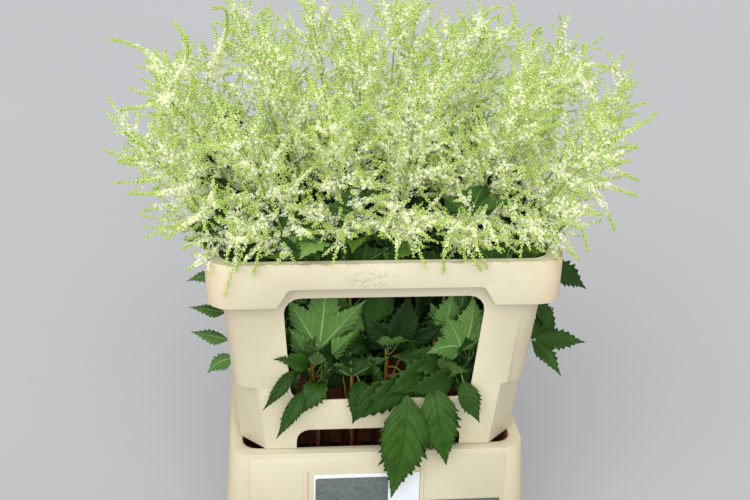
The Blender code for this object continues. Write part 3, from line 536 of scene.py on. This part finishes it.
# Every leaf of the solids, with its stem, the height where it leaves it and the rest of its route in
# millimetres, the way across its blade, its scale, its breadth and how many pairs it has.
ACROSS, TURNED = (1, 0, 0), (-1, 0, 0)
RIGHT, LEFT = (0.35, 0.75, 0.55), (-0.35, 0.75, 0.55)
listed = [
    ("14", 345, (34, -125, 374), (44, -172, 366), (14, -175.5, 197), ACROSS, 1.42, 0.43, 0),
    ("15", 330, (68, -124, 368), (62, -168, 362), (87, -166, 240), ACROSS, 1.1, 0.45, 0),
    ("16", 340, (104, -122, 372), (96, -154, 368), (128, -162, 302), ACROSS, 0.6, 0.46, 0),
    ("13", 335, (-30, -122, 364), (-20, -158, 358), (-38, -158, 303), ACROSS, 0.6, 0.5, 0),
    ("12", 360, (-104, -124, 384), (-108, -162, 392), (-153, -163, 330), ACROSS, 0.66, 0.26, 0),
    ("12", 325, (-94, -122, 358), (-96, -164, 362), (-136, -162, 286), ACROSS, 0.72, 0.28, 0),
    ("12", 345, (-80, -116, 366), (-76, -121, 424), (-70, -128, 512), ACROSS, 1.1, 0.38, 2),
    ("15", 345, (104, -118, 366), (120, -124, 396), (114, -127, 472), ACROSS, 0.8, 0.5, 1),
    ("14", 365, (20, -114, 380), (26, -120, 410), (34, -122, 474), TURNED, 0.78, 0.5, 1),
    ("23", 330, (-30, -50, 356), (-34, -66, 390), (-26, -70, 462), TURNED, 0.8, 0.5, 1),
    ("24", 330, (56, -50, 356), (72, -66, 390), (80, -70, 458), TURNED, 0.8, 0.5, 1),
    ("22", 320, (-76, -54, 352), (-84, -78, 366), (-86, -84, 306), ACROSS, 0.7, 0.5, 1),
    ("26", 360, (190, -20, 404), (240, 0, 402), (262, 0, 334), RIGHT, 0.66, 0.5, 0),
    ("26", 322, (186, -36, 352), (225, -38, 360), (298, -30, 343), RIGHT, 0.72, 0.4, 1),
    ("36", 400, (180, 46, 436), (245, 55, 444), (318, 60, 380), RIGHT, 0.74, 0.5, 0),
    ("31", 395, (-188, 30, 424), (-215, 30, 436), (-254, 30, 418), LEFT, 0.5, 0.36, 0),
    ("31", 350, (-186, 10, 376), (-214, 2, 388), (-250, 0, 394), LEFT, 0.5, 0.36, 0),
    ("21", 330, (-180, -26, 352), (-212, -22, 360), (-248, -20, 367), LEFT, 0.5, 0.4, 0),
    ("21", 310, (-178, -50, 346), (-208, -54, 354), (-226, -50, 318), LEFT, 0.46, 0.5, 0),
    ("12", 480, (-84, -112, 548), (-72, -138, 578), (-108, -192, 556), TURNED, 0.8, 0.5, 0),
    ("13", 508, (-40, -128, 552), (-36, -146, 572), (-46, -186, 560), ACROSS, 0.66, 0.5, 0),
    ("16", 490, (172, -108, 552), (196, -96, 576), (242, -90, 556), RIGHT, 0.7, 0.5, 0),
    ("11", 480, (-176, -104, 552), (-198, -94, 576), (-242, -92, 552), LEFT, 0.66, 0.5, 0),
    ("44", 508, (30, 132, 552), (34, 150, 576), (40, 200, 560), ACROSS, 0.8, 0.5, 0),
    ("42", 345, (-70, 116, 368), (-62, 124, 404), (-50, 127, 472), ACROSS, 0.84, 0.5, 1),
    ("45", 345, (100, 116, 366), (104, 124, 400), (90, 127, 472), ACROSS, 0.8, 0.5, 1),
    ("43", 335, (-10, 124, 370), (-6, 170, 358), (4, 172, 236), ACROSS, 1.0, 0.5, 0),
    # Smaller leaves that fill the front window between those, from left to right.
    ("12", 330, (-86, -106, 372), (-96, -112, 410), (-112, -114, 470), ACROSS, 0.8, 0.4, 0),
    ("12", 318, (-70, -104, 350), (-52, -110, 388), (-16, -114, 462), ACROSS, 0.92, 0.38, 0),
    ("12", 330, (-66, -114, 360), (-54, -130, 378), (-26, -134, 371), ACROSS, 0.46, 0.4, 0),
    ("12", 320, (-80, -116, 362), (-106, -142, 396), (-139, -151, 398), (0, -0.3, -1), 0.62, 0.36, 0),
    ("12", 315, (-78, -120, 350), (-74, -146, 366), (-104, -155, 318), ACROSS, 0.56, 0.54, 0),
    ("13", 440, (0, -98, 486), (4, -116, 486), (-18, -116, 414), ACROSS, 0.74, 0.56, 0),
    ("13", 370, (-26, -104, 404), (-6, -116, 424), (46, -118, 400), (0, 0.4, 1), 0.62, 0.46, 0),
    ("15", 330, (100, -108, 352), (84, -126, 376), (12, -128, 386), (0, -0.6, -1), 0.84, 0.44, 0),
    ("15", 350, (82, -106, 376), (80, -116, 404), (90, -118, 474), ACROSS, 0.66, 0.5, 0),
    ("16", 350, (118, -106, 372), (112, -122, 412), (58, -128, 388), (0, 0.6, 1), 0.58, 0.6, 0),
    ("14", 325, (34, -116, 362), (12, -150, 362), (-40, -157, 321), (0.6, 0, -1), 0.6, 0.56, 0),
    ("14", 318, (62, -112, 352), (34, -148, 368), (-37, -160, 309), (0.6, 0, -1), 0.98, 0.42, 0),
    ("15", 325, (78, -112, 352), (64, -134, 378), (4, -152, 342), (0.6, 0, -1), 0.82, 0.6, 0),
    ("16", 330, (108, -112, 352), (94, -142, 356), (29, -153, 348), (0.4, 0, -1), 0.8, 0.5, 0),
    ("15", 318, (98, -108, 340), (110, -124, 352), (150, -128, 338), (0, 0.6, 1), 0.66, 0.5, 0),
    ("14", 330, (52, -104, 350), (70, -122, 366), (116, -128, 360), (0, 0.6, 1), 0.7, 0.52, 0),
    # Leaves that lie among the lowest flowers, just over the collar's rim, from left to right.
    ("11", 500, (-180, -110, 540), (-206, -132, 556), (-245, -135, 557), (0, -0.3, -1), 0.44, 0.4, 0),
    ("11", 505, (-150, -106, 536), (-170, -126, 552), (-210, -130, 572), (-0.3, -0.27, -0.9), 0.48, 0.6, 0),
    ("12", 505, (-108, -100, 530), (-122, -124, 546), (-165, -125, 588), (-0.7, -0.2, -0.7), 0.66, 0.62, 0),
    ("12", 500, (-86, -122, 528), (-98, -144, 540), (-149, -146, 537), (0, -0.9, -0.4), 0.5, 0.34, 0),
    ("12", 500, (-52, -112, 526), (-62, -134, 545), (-122, -136, 560), (0, 0.5, 1), 0.66, 0.66, 0),
    ("13", 505, (-6, -112, 532), (0, -124, 548), (-19, -126, 584), (-0.76, -0.47, -0.24), 0.42, 0.36, 0),
    ("14", 505, (4, -114, 530), (0, -140, 544), (55, -142, 547), (-0.14, 0.7, 0.7), 0.6, 0.42, 0),
    ("16", 505, (164, -112, 536), (178, -148, 544), (217, -152, 579), (-0.52, 0.4, 0.65), 0.68, 0.4, 0),
    # Tall leaves just behind the window's, against its top.
    ("12", 320, (-96, -92, 356), (-104, -104, 400), (-108, -108, 482), ACROSS, 0.95, 0.5, 1),
    ("12", 330, (-66, -92, 364), (-58, -102, 404), (-56, -106, 484), ACROSS, 1.0, 0.5, 1),
    ("13", 330, (-20, -90, 360), (-12, -100, 400), (-8, -106, 482), TURNED, 0.95, 0.56, 1),
    ("15", 325, (92, -90, 356), (102, -100, 400), (108, -106, 482), ACROSS, 0.95, 0.5, 1),
]

leaves = [(row[0], row[1] / 1000, *np.array(row[2:5]) / 1000, *row[5:]) for row in listed]

# Leaves deeper in the bunch, by a seeded rule: low ones on long stalks inside the collar, and higher
# ones under and among the plumes. They fill the windows and the dark between the plumes.
fill = random.Random(5)


def add_inner_leaf(name, ranges, way):
    foot_z, tip_z, reach, turn, scale = [fill.uniform(*r) for r in ranges[:5]]
    half = np.array(ranges[5:])
    foot = at_height(stems[name], foot_z)
    at_leaf = at_height(stems[name], tip_z - 0.02)
    out = np.array([math.cos(way + turn), math.sin(way + turn), 0.0])
    tip = at_leaf + out * reach
    tip[:2] = np.clip(tip[:2], -half, half)
    tip[2] = tip_z
    near = foot * 0.5 + at_leaf * 0.5 + out * 0.01
    mid = at_leaf * 0.5 + tip * 0.5 + (0, 0, 0.045)
    side = np.cross((0, 0, 1), out)
    leaves.append((name, foot_z, near, mid, tip, side, scale, fill.uniform(0.44, 0.56), 1))


# For low, middle and high leaves, the ranges of the height where they start, the tip's height, its
# reach, its turn from a set way and the scale, and how far out the tip may lie in x and y.
LOW = ((0.21, 0.3), (0.345, 0.455), (0.035, 0.075), (0, 2 * math.pi), (0.6, 0.85), 0.158, 0.112)
MIDDLE = ((0.44, 0.5), (0.515, 0.6), (0.035, 0.075), (-1.9, 1.9), (0.66, 0.9), 0.176, 0.124)
HIGH = ((0.53, 0.56), (0.6, 0.64), (0.035, 0.055), (-1.2, 1.2), (0.5, 0.66), 0.24, 0.17)
for name, stem in stems.items():
    outward = math.atan2(stem[0][2][1] * 1.4, stem[0][2][0])
    # The end stems carry three more low leaves, which fill the end windows.
    for _ in range(7 if name[1] in "16" else 4):
        add_inner_leaf(name, LOW, 0.0)
    for _ in range(4):
        add_inner_leaf(name, MIDDLE, outward)
    if int(name) % 2:
        add_inner_leaf(name, HIGH, outward)


# The finish of a leaf: a waxed upper side, deep green, with its veins sunk and a fine net between
# them, and a matt underside, paler and greyer, with a pale midrib and pale veins.
def leaf_side(name, stops, vein_colour, rib_share, vein_share, roughness, gloss):
    mat, shader, place = new_material(name)
    uv = add(mat, "UVMap", {}, uv_map="UVMap")
    spot = add(mat, "SeparateXYZ", (uv,)).node.outputs
    tone = add(mat, "Attribute", {}, "Fac", attribute_name="tone")
    mottle = add(mat, "TexNoise", {"Vector": place, "Scale": 55, "Detail": 4})
    shifted = add(mat, "Math", (mottle, 0.34, -0.17), operation="MULTIPLY_ADD")
    share = add(mat, "Math", (tone, shifted), operation="ADD")
    blade = add(mat, "ValToRGB", (share,), stops=stops)
    midrib = add(mat, "MapRange", (spot["X"], 0.02, 0.09, rib_share, 0))
    side_vein = add(mat, "MapRange", (spot["Y"], 0.02, 0.22, vein_share, 0))
    vein = add(mat, "Math", (midrib, side_vein), operation="MAXIMUM")
    colour = add(mat, "Mix", {0: vein, 6: blade, 7: linear(vein_colour)}, 2, data_type="RGBA")
    net = add(mat, "TexVoronoi", {"Vector": place, "Scale": 420}, feature="DISTANCE_TO_EDGE")
    height = add(mat, "Math", (vein, -2.2, net), operation="MULTIPLY_ADD")
    bump = add(mat, "Bump", {"Height": height, "Strength": 0.35, "Distance": 0.0006})
    thin = add(mat, "BsdfTranslucent", {"Color": colour, "Normal": bump})
    feed(shader, {"Base Color": colour, "Normal": bump, "Roughness": roughness, "Specular IOR Level": gloss})
    both = add(mat, "MixShader", (0.14, shader.outputs[0], thin))
    feed(mat.node_tree.nodes["Material Output"], {"Surface": both})
    return mat


deep_greens = ((0.05, "#152C0C"), (0.5, "#294C12"), (0.95, "#56782A"))
leaf_top = leaf_side("waxed_leaf_upper_side", deep_greens, "#1A360F", 0.55, 0.5, 0.46, 0.16)
grey_greens = ((0.05, "#1F3A14"), (0.45, "#4F7638"), (0.95, "#72974E"))
leaf_under = leaf_side("matt_leaf_underside", grey_greens, "#9DB978", 0.66, 0.16, 0.6, 0.12)
# Bark: finely ribbed, woody red-brown low down and green above, and dark with damp at its foot.
wood, shader, place = new_material("woody_stem_bark")
ribbed = add(wood, "Mapping", {"Vector": place, "Scale": (260, 260, 14)})
fibre = add(wood, "TexNoise", {"Vector": ribbed, "Scale": 1, "Detail": 4})
red_browns = ((0.3, "#5A280E"), (0.48, "#B05C22"), (0.7, "#E0923F"))
woody = add(wood, "ValToRGB", (fibre,), stops=red_browns)
height = add(wood, "SeparateXYZ", (place,), "Z")
wet = add(wood, "MapRange", (height, 0.29, 0.325, 0.8, 0))
woody = add(wood, "Mix", {0: wet, 6: woody, 7: linear("#3C190D")}, 2, data_type="RGBA")
fresh = add(wood, "ValToRGB", (fibre,), stops=((0.3, "#4C6A2A"), (0.7, "#7C9A4C")))
grown = add(wood, "Attribute", {}, "Fac", attribute_name="tone")
bark = add(wood, "Mix", {0: grown, 6: woody, 7: fresh}, 2, data_type="RGBA")
bump = add(wood, "Bump", {"Height": fibre, "Strength": 0.4, "Distance": 0.0005})
feed(shader, {"Base Color": bark, "Normal": bump, "Roughness": 0.5})

# By their place in the list: leaves whose side leaflets stand up close to the end one, leaves in
# the middle of the window, which are painted darker as shade, and leaves over the rim, which are
# painted paler as light.
FANNED = (6, 7, 51, 52, 53, 54)
PAINTED_SHADE_LEAVES = (8, 9, 10, 53)
PAINTED_LIGHT_LEAVES = (19, 20, *range(43, 51))
FINE_LEAVES = 9
shades = random.Random(3)
for name, stem in stems.items():
    growth = Growth()
    places = np.linspace(0, stem[1], 25)
    line = on_stem(stem, places)
    radii = np.interp(line[:, 2], (0.0, 0.55), (0.003, 0.002))
    radii = radii * (1 + 0.06 * np.sin(np.arange(25) * 2.1))
    tube(growth, line, radii, 8, 2, np.clip((line[:, 2] - 0.36) / 0.1, 0, 1))
    for number, (owner, height, near, mid, tip, side, scale, breadth, pairs) in enumerate(leaves):
        if owner != name:
            continue
        route = (at_height(stem, height), near, mid, tip)
        inner = number >= len(listed)
        # Leaves deep in the bunch get darker greens than the listed ones: painted shade.
        tone = shades.uniform(0.0, 0.3) if inner else shades.uniform(0.3, 0.6)
        # Leaves in the window's middle get painted shade, and those over the rim get painted light.
        tone = 0.05 if number in PAINTED_SHADE_LEAVES else 0.95 if number in PAINTED_LIGHT_LEAVES else tone
        model = inner_leaflet if inner else fine_leaflet if number < FINE_LEAVES else plain_leaflet
        turn_out = 30.0 if number in FANNED else 52.0
        grow_leaf(growth, route, side, scale, breadth, pairs, tone, model, turn_out, inner)
    piece = growth.finish(f"leafy_stem_{name}", "tone", (leaf_top, leaf_under, wood))
    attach(piece, "root")
    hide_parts(f"stem_{name}")


# The plumes: an upright main stalk with side branches all round, which follow the solid's with more
# between them, and short sprays near each branch's foot. All are set with small florets, open and
# cream-white at the foot of a branch, and still tight yellow-green buds at its tip.
def model_bud():
    """A tight bud on its short stalk: a three-sided bead, one unit from its foot to its tip."""
    halves = []
    for low, high, depth, z in ((0.5, 0.0, 0.36, 0.82), (0.0, 0.5, 0.64, 0.32)):
        bpy.ops.mesh.primitive_cone_add(
            vertices=3, radius1=low, radius2=high, depth=depth, end_fill_type="NOTHING", location=(0, 0, z)
        )
        halves.insert(0, bpy.context.object)
    only(*halves)
    bpy.ops.object.transform_apply(location=True)
    bpy.ops.object.join()
    edit_all((bpy.ops.mesh.remove_doubles, {"threshold": 0.001}))
    return as_arrays(halves[0])


def model_floret():
    """An open floret: five wedge-shaped petals, cupped, on a sliver of a stalk. Across, one unit is
    the length of a petal, and upwards it is the length of the stalk."""
    bpy.ops.mesh.primitive_circle_add(vertices=10, fill_type="TRIFAN", location=(0, 0, 1))
    floret = bpy.context.object
    bpy.ops.object.transform_apply(location=True)
    bpy.context.tool_settings.mesh_select_mode = (False, False, True)
    for polygon in floret.data.polygons:
        polygon.select = polygon.index % 2 == 0
    bpy.ops.object.mode_set(mode="EDIT")
    bpy.ops.mesh.delete(type="FACE")
    bpy.ops.object.mode_set(mode="OBJECT")
    for vertex in floret.data.vertices:
        vertex.co.z += 0.38 * math.hypot(vertex.co.x, vertex.co.y)
    bpy.ops.mesh.primitive_circle_add(vertices=3, fill_type="NGON")
    stalk = bpy.context.object
    stalk.data.vertices.foreach_set("co", (0, 0, 0, -0.13, 0, 1, 0.13, 0, 1))
    only(floret, stalk)
    bpy.ops.object.join()
    return as_arrays(floret)


bud_model = model_bud()
floret_model = model_floret()


def set_florets(growth, model, feet, outs, lengths, widths, tones, draw):
    """Copies a bud or floret to many places, each along its own way out and turned at random."""
    points, triangles = model
    count = len(feet)
    if not count:
        return
    across = unit(np.cross(outs, draw.normal(size=(count, 3))))
    placed = feet[:, None]
    for k, (way, size) in enumerate(((across, widths), (np.cross(outs, across), widths), (outs, lengths))):
        placed = placed + way[:, None] * (points[None, :, k : k + 1] * size[:, None, None])
    copies = (triangles[None] + (np.arange(count) * len(points))[:, None, None]).reshape(-1, 3)
    growth.put(placed.reshape(-1, 3), copies, None, 0, np.repeat(tones, len(points)))


# Florets stand in a spiral up a branch, on stalks that shorten towards its tip.
GOLDEN_TURN = 2.39996
FLORET_GAP = 0.0015
SPIKE_GAP = 0.0009
SPRAY_GAP = 0.016
PETAL = (0.0017, 0.0024)
BOX_MARGIN = 0.0045
BUD_RADIUS = 0.0015


def set_raceme(growth, line, opened, draw, reach_at_foot, reach_at_tip, stalk, gap=FLORET_GAP):
    """One raceme along a line: its stalk and its florets, which crowd towards its tip. opened is the
    share of its length, from its foot, over which they are open."""
    run = run_of(line)
    length = run[-1]
    tube(growth, line, np.linspace(stalk, 0.0004, len(line)), 3, 1, 0.5, closed=False)
    count = max(int(length / gap), 5)
    share = (np.arange(count) + 0.5 + draw.uniform(-0.4, 0.4, count)) / count
    share = 0.08 + 0.92 * np.clip(share, 0, 1) ** 0.78
    feet = between(share * length, run, line)
    ahead = unit(between(share * length, run, unit(np.gradient(line, axis=0))))
    outs = out_from(ahead, np.arange(count) * GOLDEN_TURN + draw.uniform(-0.5, 0.5, count))
    outs = unit(outs + ahead * (0.15 + 0.75 * share[:, None]) + draw.normal(scale=0.2, size=(count, 3)))
    reach = reach_at_foot + (reach_at_tip - reach_at_foot) * share**0.75
    reach = reach * draw.uniform(0.65, 1.2, count)
    is_open = share < opened + draw.uniform(-0.1, 0.1, count)
    tone = np.clip(1.0 - share**0.9 + draw.uniform(-0.08, 0.08, count), 0, 1)
    closed = ~is_open
    set_florets(
        growth, bud_model, feet[closed], outs[closed], reach[closed] + BUD_RADIUS,
        2 * BUD_RADIUS * (1.12 - 0.3 * share[closed]), 0.62 * tone[closed], draw,
    )
    # Open florets turn their faces up to the light.
    set_florets(
        growth, floret_model, feet[is_open], unit(outs + (0, 0, 0.55))[is_open], reach[is_open],
        draw.uniform(*PETAL, is_open.sum()), 0.55 + 0.45 * tone[is_open], draw,
    )


def set_branch(growth, line, opened, draw, sprays_up_to, gap):
    """One side branch: a long raceme, and short green sprays on either side of its lower part."""
    set_raceme(growth, line, opened, draw, 0.0056, 0.0017, 0.0008, gap)
    length = run_of(line)[-1]
    count = round(length / SPRAY_GAP)
    end = sprays_up_to + draw.uniform(-0.14, 0.04)
    places = np.linspace(0.1, end, count) + draw.uniform(-0.03, 0.03, count)
    start_turn = draw.uniform(0, 2 * math.pi)
    for k, place in enumerate(places):
        spot = place * (len(line) - 1)
        i = min(int(spot), len(line) - 2)
        foot = line[i] + (line[i + 1] - line[i]) * (spot - i)
        ahead = unit(line[i + 1] - line[i])
        way = unit(out_from(ahead, start_turn + k * GOLDEN_TURN) + ahead * draw.uniform(0.35, 0.75))
        spray = (0.026 - 0.018 * place) * draw.uniform(0.75, 1.25) * min(length / 0.075, 1.25)
        t = np.linspace(0, 1, 3)[:, None]
        twig = foot + way * spray * t + (ahead * 0.3 + (0, 0, 0.12)) * spray * t**2
        set_raceme(growth, twig, opened - 0.22, draw, 0.0034, 0.0015, 0.0005)


def branch_lines(node):
    """Reads the side branches of a plume's solid: from each tip back ring by ring to the axis."""
    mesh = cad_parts[node].data
    corners = np.array([v.co for v in mesh.vertices])
    _, first, merged = np.unique(np.round(corners, 5), axis=0, return_index=True, return_inverse=True)
    corners = corners[first]
    merged = merged.reshape(-1)
    neighbours, faces_at = {}, {}
    for polygon in mesh.polygons:
        face = [int(merged[i]) for i in polygon.vertices]
        for i in face:
            neighbours.setdefault(i, set()).update(face)
            faces_at[i] = faces_at.get(i, 0) + 1
    lines = []
    for tip, count in faces_at.items():
        if count != 3:
            continue
        seen, ring, rings = {tip}, {tip}, [corners[tip]]
        for _ in range(4):
            ring = set().union(*(neighbours[i] for i in ring)) - seen
            seen |= ring
            rings.append(corners[list(ring)].mean(axis=0))
            if len(ring) != 3:
                break
        if len(rings) == 5 and len(ring) == 3:
            lines.append(np.array(rings[::-1]))
    return lines


def clear_of_rim(line):
    """Lifts the points of a branch that would lie in the collar's rim, so that it rests on it."""
    x, y = np.abs(line[:, 0]), np.abs(line[:, 1])
    over = ((x > 0.184) | (y > 0.132)) & (x < 0.226) & (y < 0.176)
    line[:, 2] = np.where(over, np.maximum(line[:, 2], 0.546), line[:, 2])
    return line


def set_fitted(growth, line, opened, draw, sprays_up_to=0.6, gap=FLORET_GAP):
    """Sets a branch, shortened from its foot where it would leave the solids' box."""
    foot = line[0]
    room_up = np.array(cad_box[1]) - BOX_MARGIN - foot
    room_down = foot - np.array(cad_box[0]) - BOX_MARGIN
    reach = line - foot
    most = max(float((reach / room_up).max()), float((-reach / room_down).max()), 1.0)
    set_branch(growth, foot + reach / most, opened, draw, sprays_up_to, gap)


# Floret skin: thin and matt, nearly white when open and yellow-green as a bud. The attribute
# bloom is 0 at the youngest bud and 1 at a floret that is wide open.
petal, shader, place = new_material("astilbe_florets")
bloom = add(petal, "Attribute", {}, "Fac", attribute_name="bloom")
patch = add(petal, "TexNoise", {"Vector": place, "Scale": 14, "Detail": 2})
moved = add(petal, "Math", (patch, 0.4, -0.2), operation="MULTIPLY_ADD")
ripe = add(petal, "Math", (bloom, moved), operation="ADD")
creams = ((0, "#C3DF64"), (0.2, "#DFF18E"), (0.45, "#EEF8B0"), (0.7, "#F8FCCE"), (1, "#FEFFEA"))
colours = add(petal, "ValToRGB", (ripe,), stops=creams)
see_through = add(petal, "BsdfTranslucent", {"Color": colours})
feed(shader, {"Base Color": colours, "Roughness": 0.6})
mixed = add(petal, "MixShader", (0.2, shader.outputs[0], see_through))
feed(petal.node_tree.nodes["Material Output"], {"Surface": mixed})

# Plume stalks: a smooth skin, green on the main stalk and paler on the thin ones.
green, shader, place = new_material("green_plume_stalk")
streak = add(green, "TexNoise", {"Vector": place, "Scale": 90, "Detail": 3})
thinness = add(green, "Attribute", {}, "Fac", attribute_name="bloom")
spread = add(green, "Math", (streak, 0.2, -0.1), operation="MULTIPLY_ADD")
share = add(green, "Math", (thinness, spread), operation="ADD")
skin = add(green, "ValToRGB", (share,), stops=((0.28, "#7C9844"), (0.52, "#CBDF8C")))
feed(shader, {"Base Color": skin, "Roughness": 0.5})

# Branches that the picture shows one by one, with their tip and a point halfway along, in
# millimetres: the long spikes that stand out of the bunch, and those that hang over the band.
spikes = {
    "31": [((-250, -60, 802), (-236, -50, 760))],
    "21": [((-316, -120, 798), (-270, -110, 772)), ((-306, -150, 726), (-262, -150, 734))],
    "11": [
        ((-309, -190, 679), (-260, -185, 684)), ((-294, -200, 644), (-246, -195, 644)),
        ((-262, -190, 583), (-224, -180, 606)), ((-196, -179, 503), (-176, -186, 600)),
        ((-161, -178, 531), (-158, -178, 586)),
    ],
    "41": [((-206, -10, 806), (-190, 10, 780))],
    "12": [((-181, -178, 536), (-160, -180, 590))],
    "15": [
        ((66, -178, 529), (68, -182, 580)), ((111, -178, 532), (90, -182, 566)),
        ((119, -178, 534), (100, -180, 566)),
    ],
    "26": [
        ((333, -100, 704), (284, -100, 672)), ((284, -60, 746), (240, -60, 745)),
        ((265, -100, 722), (254, -98, 702)), ((284, -120, 713), (276, -110, 690)),
    ],
    "36": [((246, -40, 772), (246, -30, 724))],
    "35": [((147, 0, 808), (128, 0, 796)), ((161, 0, 812), (164, 0, 780))],
    "25": [((204, 0, 777), (192, 0, 758)), ((196, -20, 788), (186, -10, 760))],
    "16": [
        ((294, -150, 677), (254, -145, 670)), ((288, -185, 650), (240, -180, 664)),
        ((288, -190, 632), (230, -180, 646)), ((266, -190, 588), (232, -185, 640)),
        ((236, -190, 560), (216, -180, 604)),
    ],
}

EXTRA_BRANCHES = 14
EIGHT = np.linspace(0, 1, 8)
# Spikes that end below this height hang over the band, and their florets stand further apart.
HANGING_BELOW = 0.54
# The front corners show their leaves, because the lowest branches are few there.
SKIRT_BRANCHES = {"11": 4, "12": 3, "13": 5, "16": 5}
for name, stem in stems.items():
    draw = np.random.default_rng(int(name))
    growth = Growth()
    split = stem[1]
    tube(growth, on_stem(stem, np.linspace(split, 1, 14)), np.linspace(0.0019, 0.0007, 14), 5, 1, 0.3)
    axis_foot, axis_tip = on_stem(stem, split), on_stem(stem, 1)
    axis_way = unit(axis_tip - axis_foot)
    for knots in branch_lines(f"plume_{name}"):
        height = (knots[0] - axis_foot) @ axis_way / PLUME_LENGTH
        # The solid's third ring is 52 hundredths of the way along its curve.
        middle = (knots[2] - knots[0] * 0.48**2 - knots[-1] * 0.52**2) / (2 * 0.52 * 0.48)
        opened = 0.82 - 0.3 * height + draw.uniform(-0.15, 0.1)
        set_fitted(growth, bow(knots[0], middle, knots[-1], EIGHT), opened, draw)
    # Branches between the solid's, all the way up, a little shorter towards the top.
    for k in range(EXTRA_BRANCHES):
        height = 0.06 + 0.84 * k / (EXTRA_BRANCHES - 1)
        foot = on_stem(stem, split + (1 - split) * height)
        out = out_from(axis_way, k * GOLDEN_TURN + draw.uniform(-0.3, 0.3))
        lean = math.radians(draw.uniform(48, 68) - 16 * height)
        length = (0.082 - 0.016 * height) * draw.uniform(0.8, 1.15)
        tip = foot + (out * math.sin(lean) + axis_way * math.cos(lean)) * length
        bend = (0, 0, draw.uniform(-0.016, 0.01))
        path = clear_of_rim(bow(foot, (foot + tip) / 2 - bend, tip, EIGHT))
        set_fitted(growth, path, 0.8 - 0.3 * height + draw.uniform(-0.2, 0.12), draw)
    # Low branches of the outer plumes, which arch outwards over the rim.
    if name[0] in "14" or name[1] in "16":
        outward = math.atan2(stem[0][2][1] * 1.6, stem[0][2][0])
        low_branches = SKIRT_BRANCHES.get(name, 8)
        for k in range(low_branches):
            turn = outward + math.radians(-80 + 160 * (k + draw.uniform(0.2, 0.8)) / low_branches)
            foot = at_height(stem, draw.uniform(0.548, 0.58))
            length = draw.uniform(0.062, 0.09)
            out = np.array([math.cos(turn), math.sin(turn), 0.0])
            tip = foot + out * length + (0, 0, draw.uniform(-0.014, 0.026))
            middle = foot + out * length * 0.5 + (0, 0, draw.uniform(0.012, 0.03))
            path = clear_of_rim(bow(foot, middle, tip, EIGHT))
            set_fitted(growth, path, draw.uniform(0.65, 0.95), draw)
    # The end of the main stalk is a raceme of its own.
    end = on_stem(stem, np.linspace(1 - (1 - split) * 0.26, 1 - (1 - split) * 0.02, 8))
    set_raceme(growth, end, 0.25, draw, 0.0056, 0.0016, 0.0009)
    for spike in spikes.get(name, []):
        tip, middle = np.array(spike) / 1000
        line = on_stem(stem, np.linspace(split, 1, 40))
        foot = line[np.argmin(np.linalg.norm(line + (0, 0, 0.03) - middle, axis=1))]
        pull = 2 * middle - (foot + tip) / 2
        gap = FLORET_GAP if tip[2] < HANGING_BELOW else SPIKE_GAP
        set_fitted(growth, bow(foot, pull, tip, np.linspace(0, 1, 13)), 0.66, draw, 0.36, gap)
    piece = growth.finish(f"flower_plume_{name}", "bloom", (petal, green))
    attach(piece, "root")
    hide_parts(f"plume_{name}")


# The studio: a pale grey floor that runs out of the picture, one very broad soft lamp high on the
# camera's left, and grey daylight from all round.
bpy.ops.mesh.primitive_plane_add(size=30)
floor = bpy.context.object
floor.name = "studio_floor"
sheet, shader, place = new_material("pale_grey_studio_paper")
wash = add(sheet, "TexNoise", {"Vector": place, "Scale": 0.6, "Detail": 2})
tint = add(sheet, "ValToRGB", (wash,), stops=((0.3, "#A8A8A9"), (0.7, "#ACACAD")))
feed(shader, {"Base Color": tint, "Roughness": 0.9, "Specular IOR Level": 0.2})
floor.data.materials.append(sheet)

bpy.ops.object.light_add(type="SUN", location=(-0.9, -2.0, 2.6))
lamp = bpy.context.object
lamp.name = "broad_soft_lamp"
lamp.data.energy = 3.3
lamp.data.angle = math.radians(60)
lamp.rotation_euler = Vector((0.24, 1.0, -0.8)).to_track_quat("-Z", "Y").to_euler()
world = bpy.data.worlds.new("grey_daylight")
bpy.context.scene.world = world
world.use_nodes = True
feed(world.node_tree.nodes["Background"], {"Color": linear("#DEDFE2"), "Strength": 1.04})
bpy.context.scene.view_settings.view_transform = "Standard"
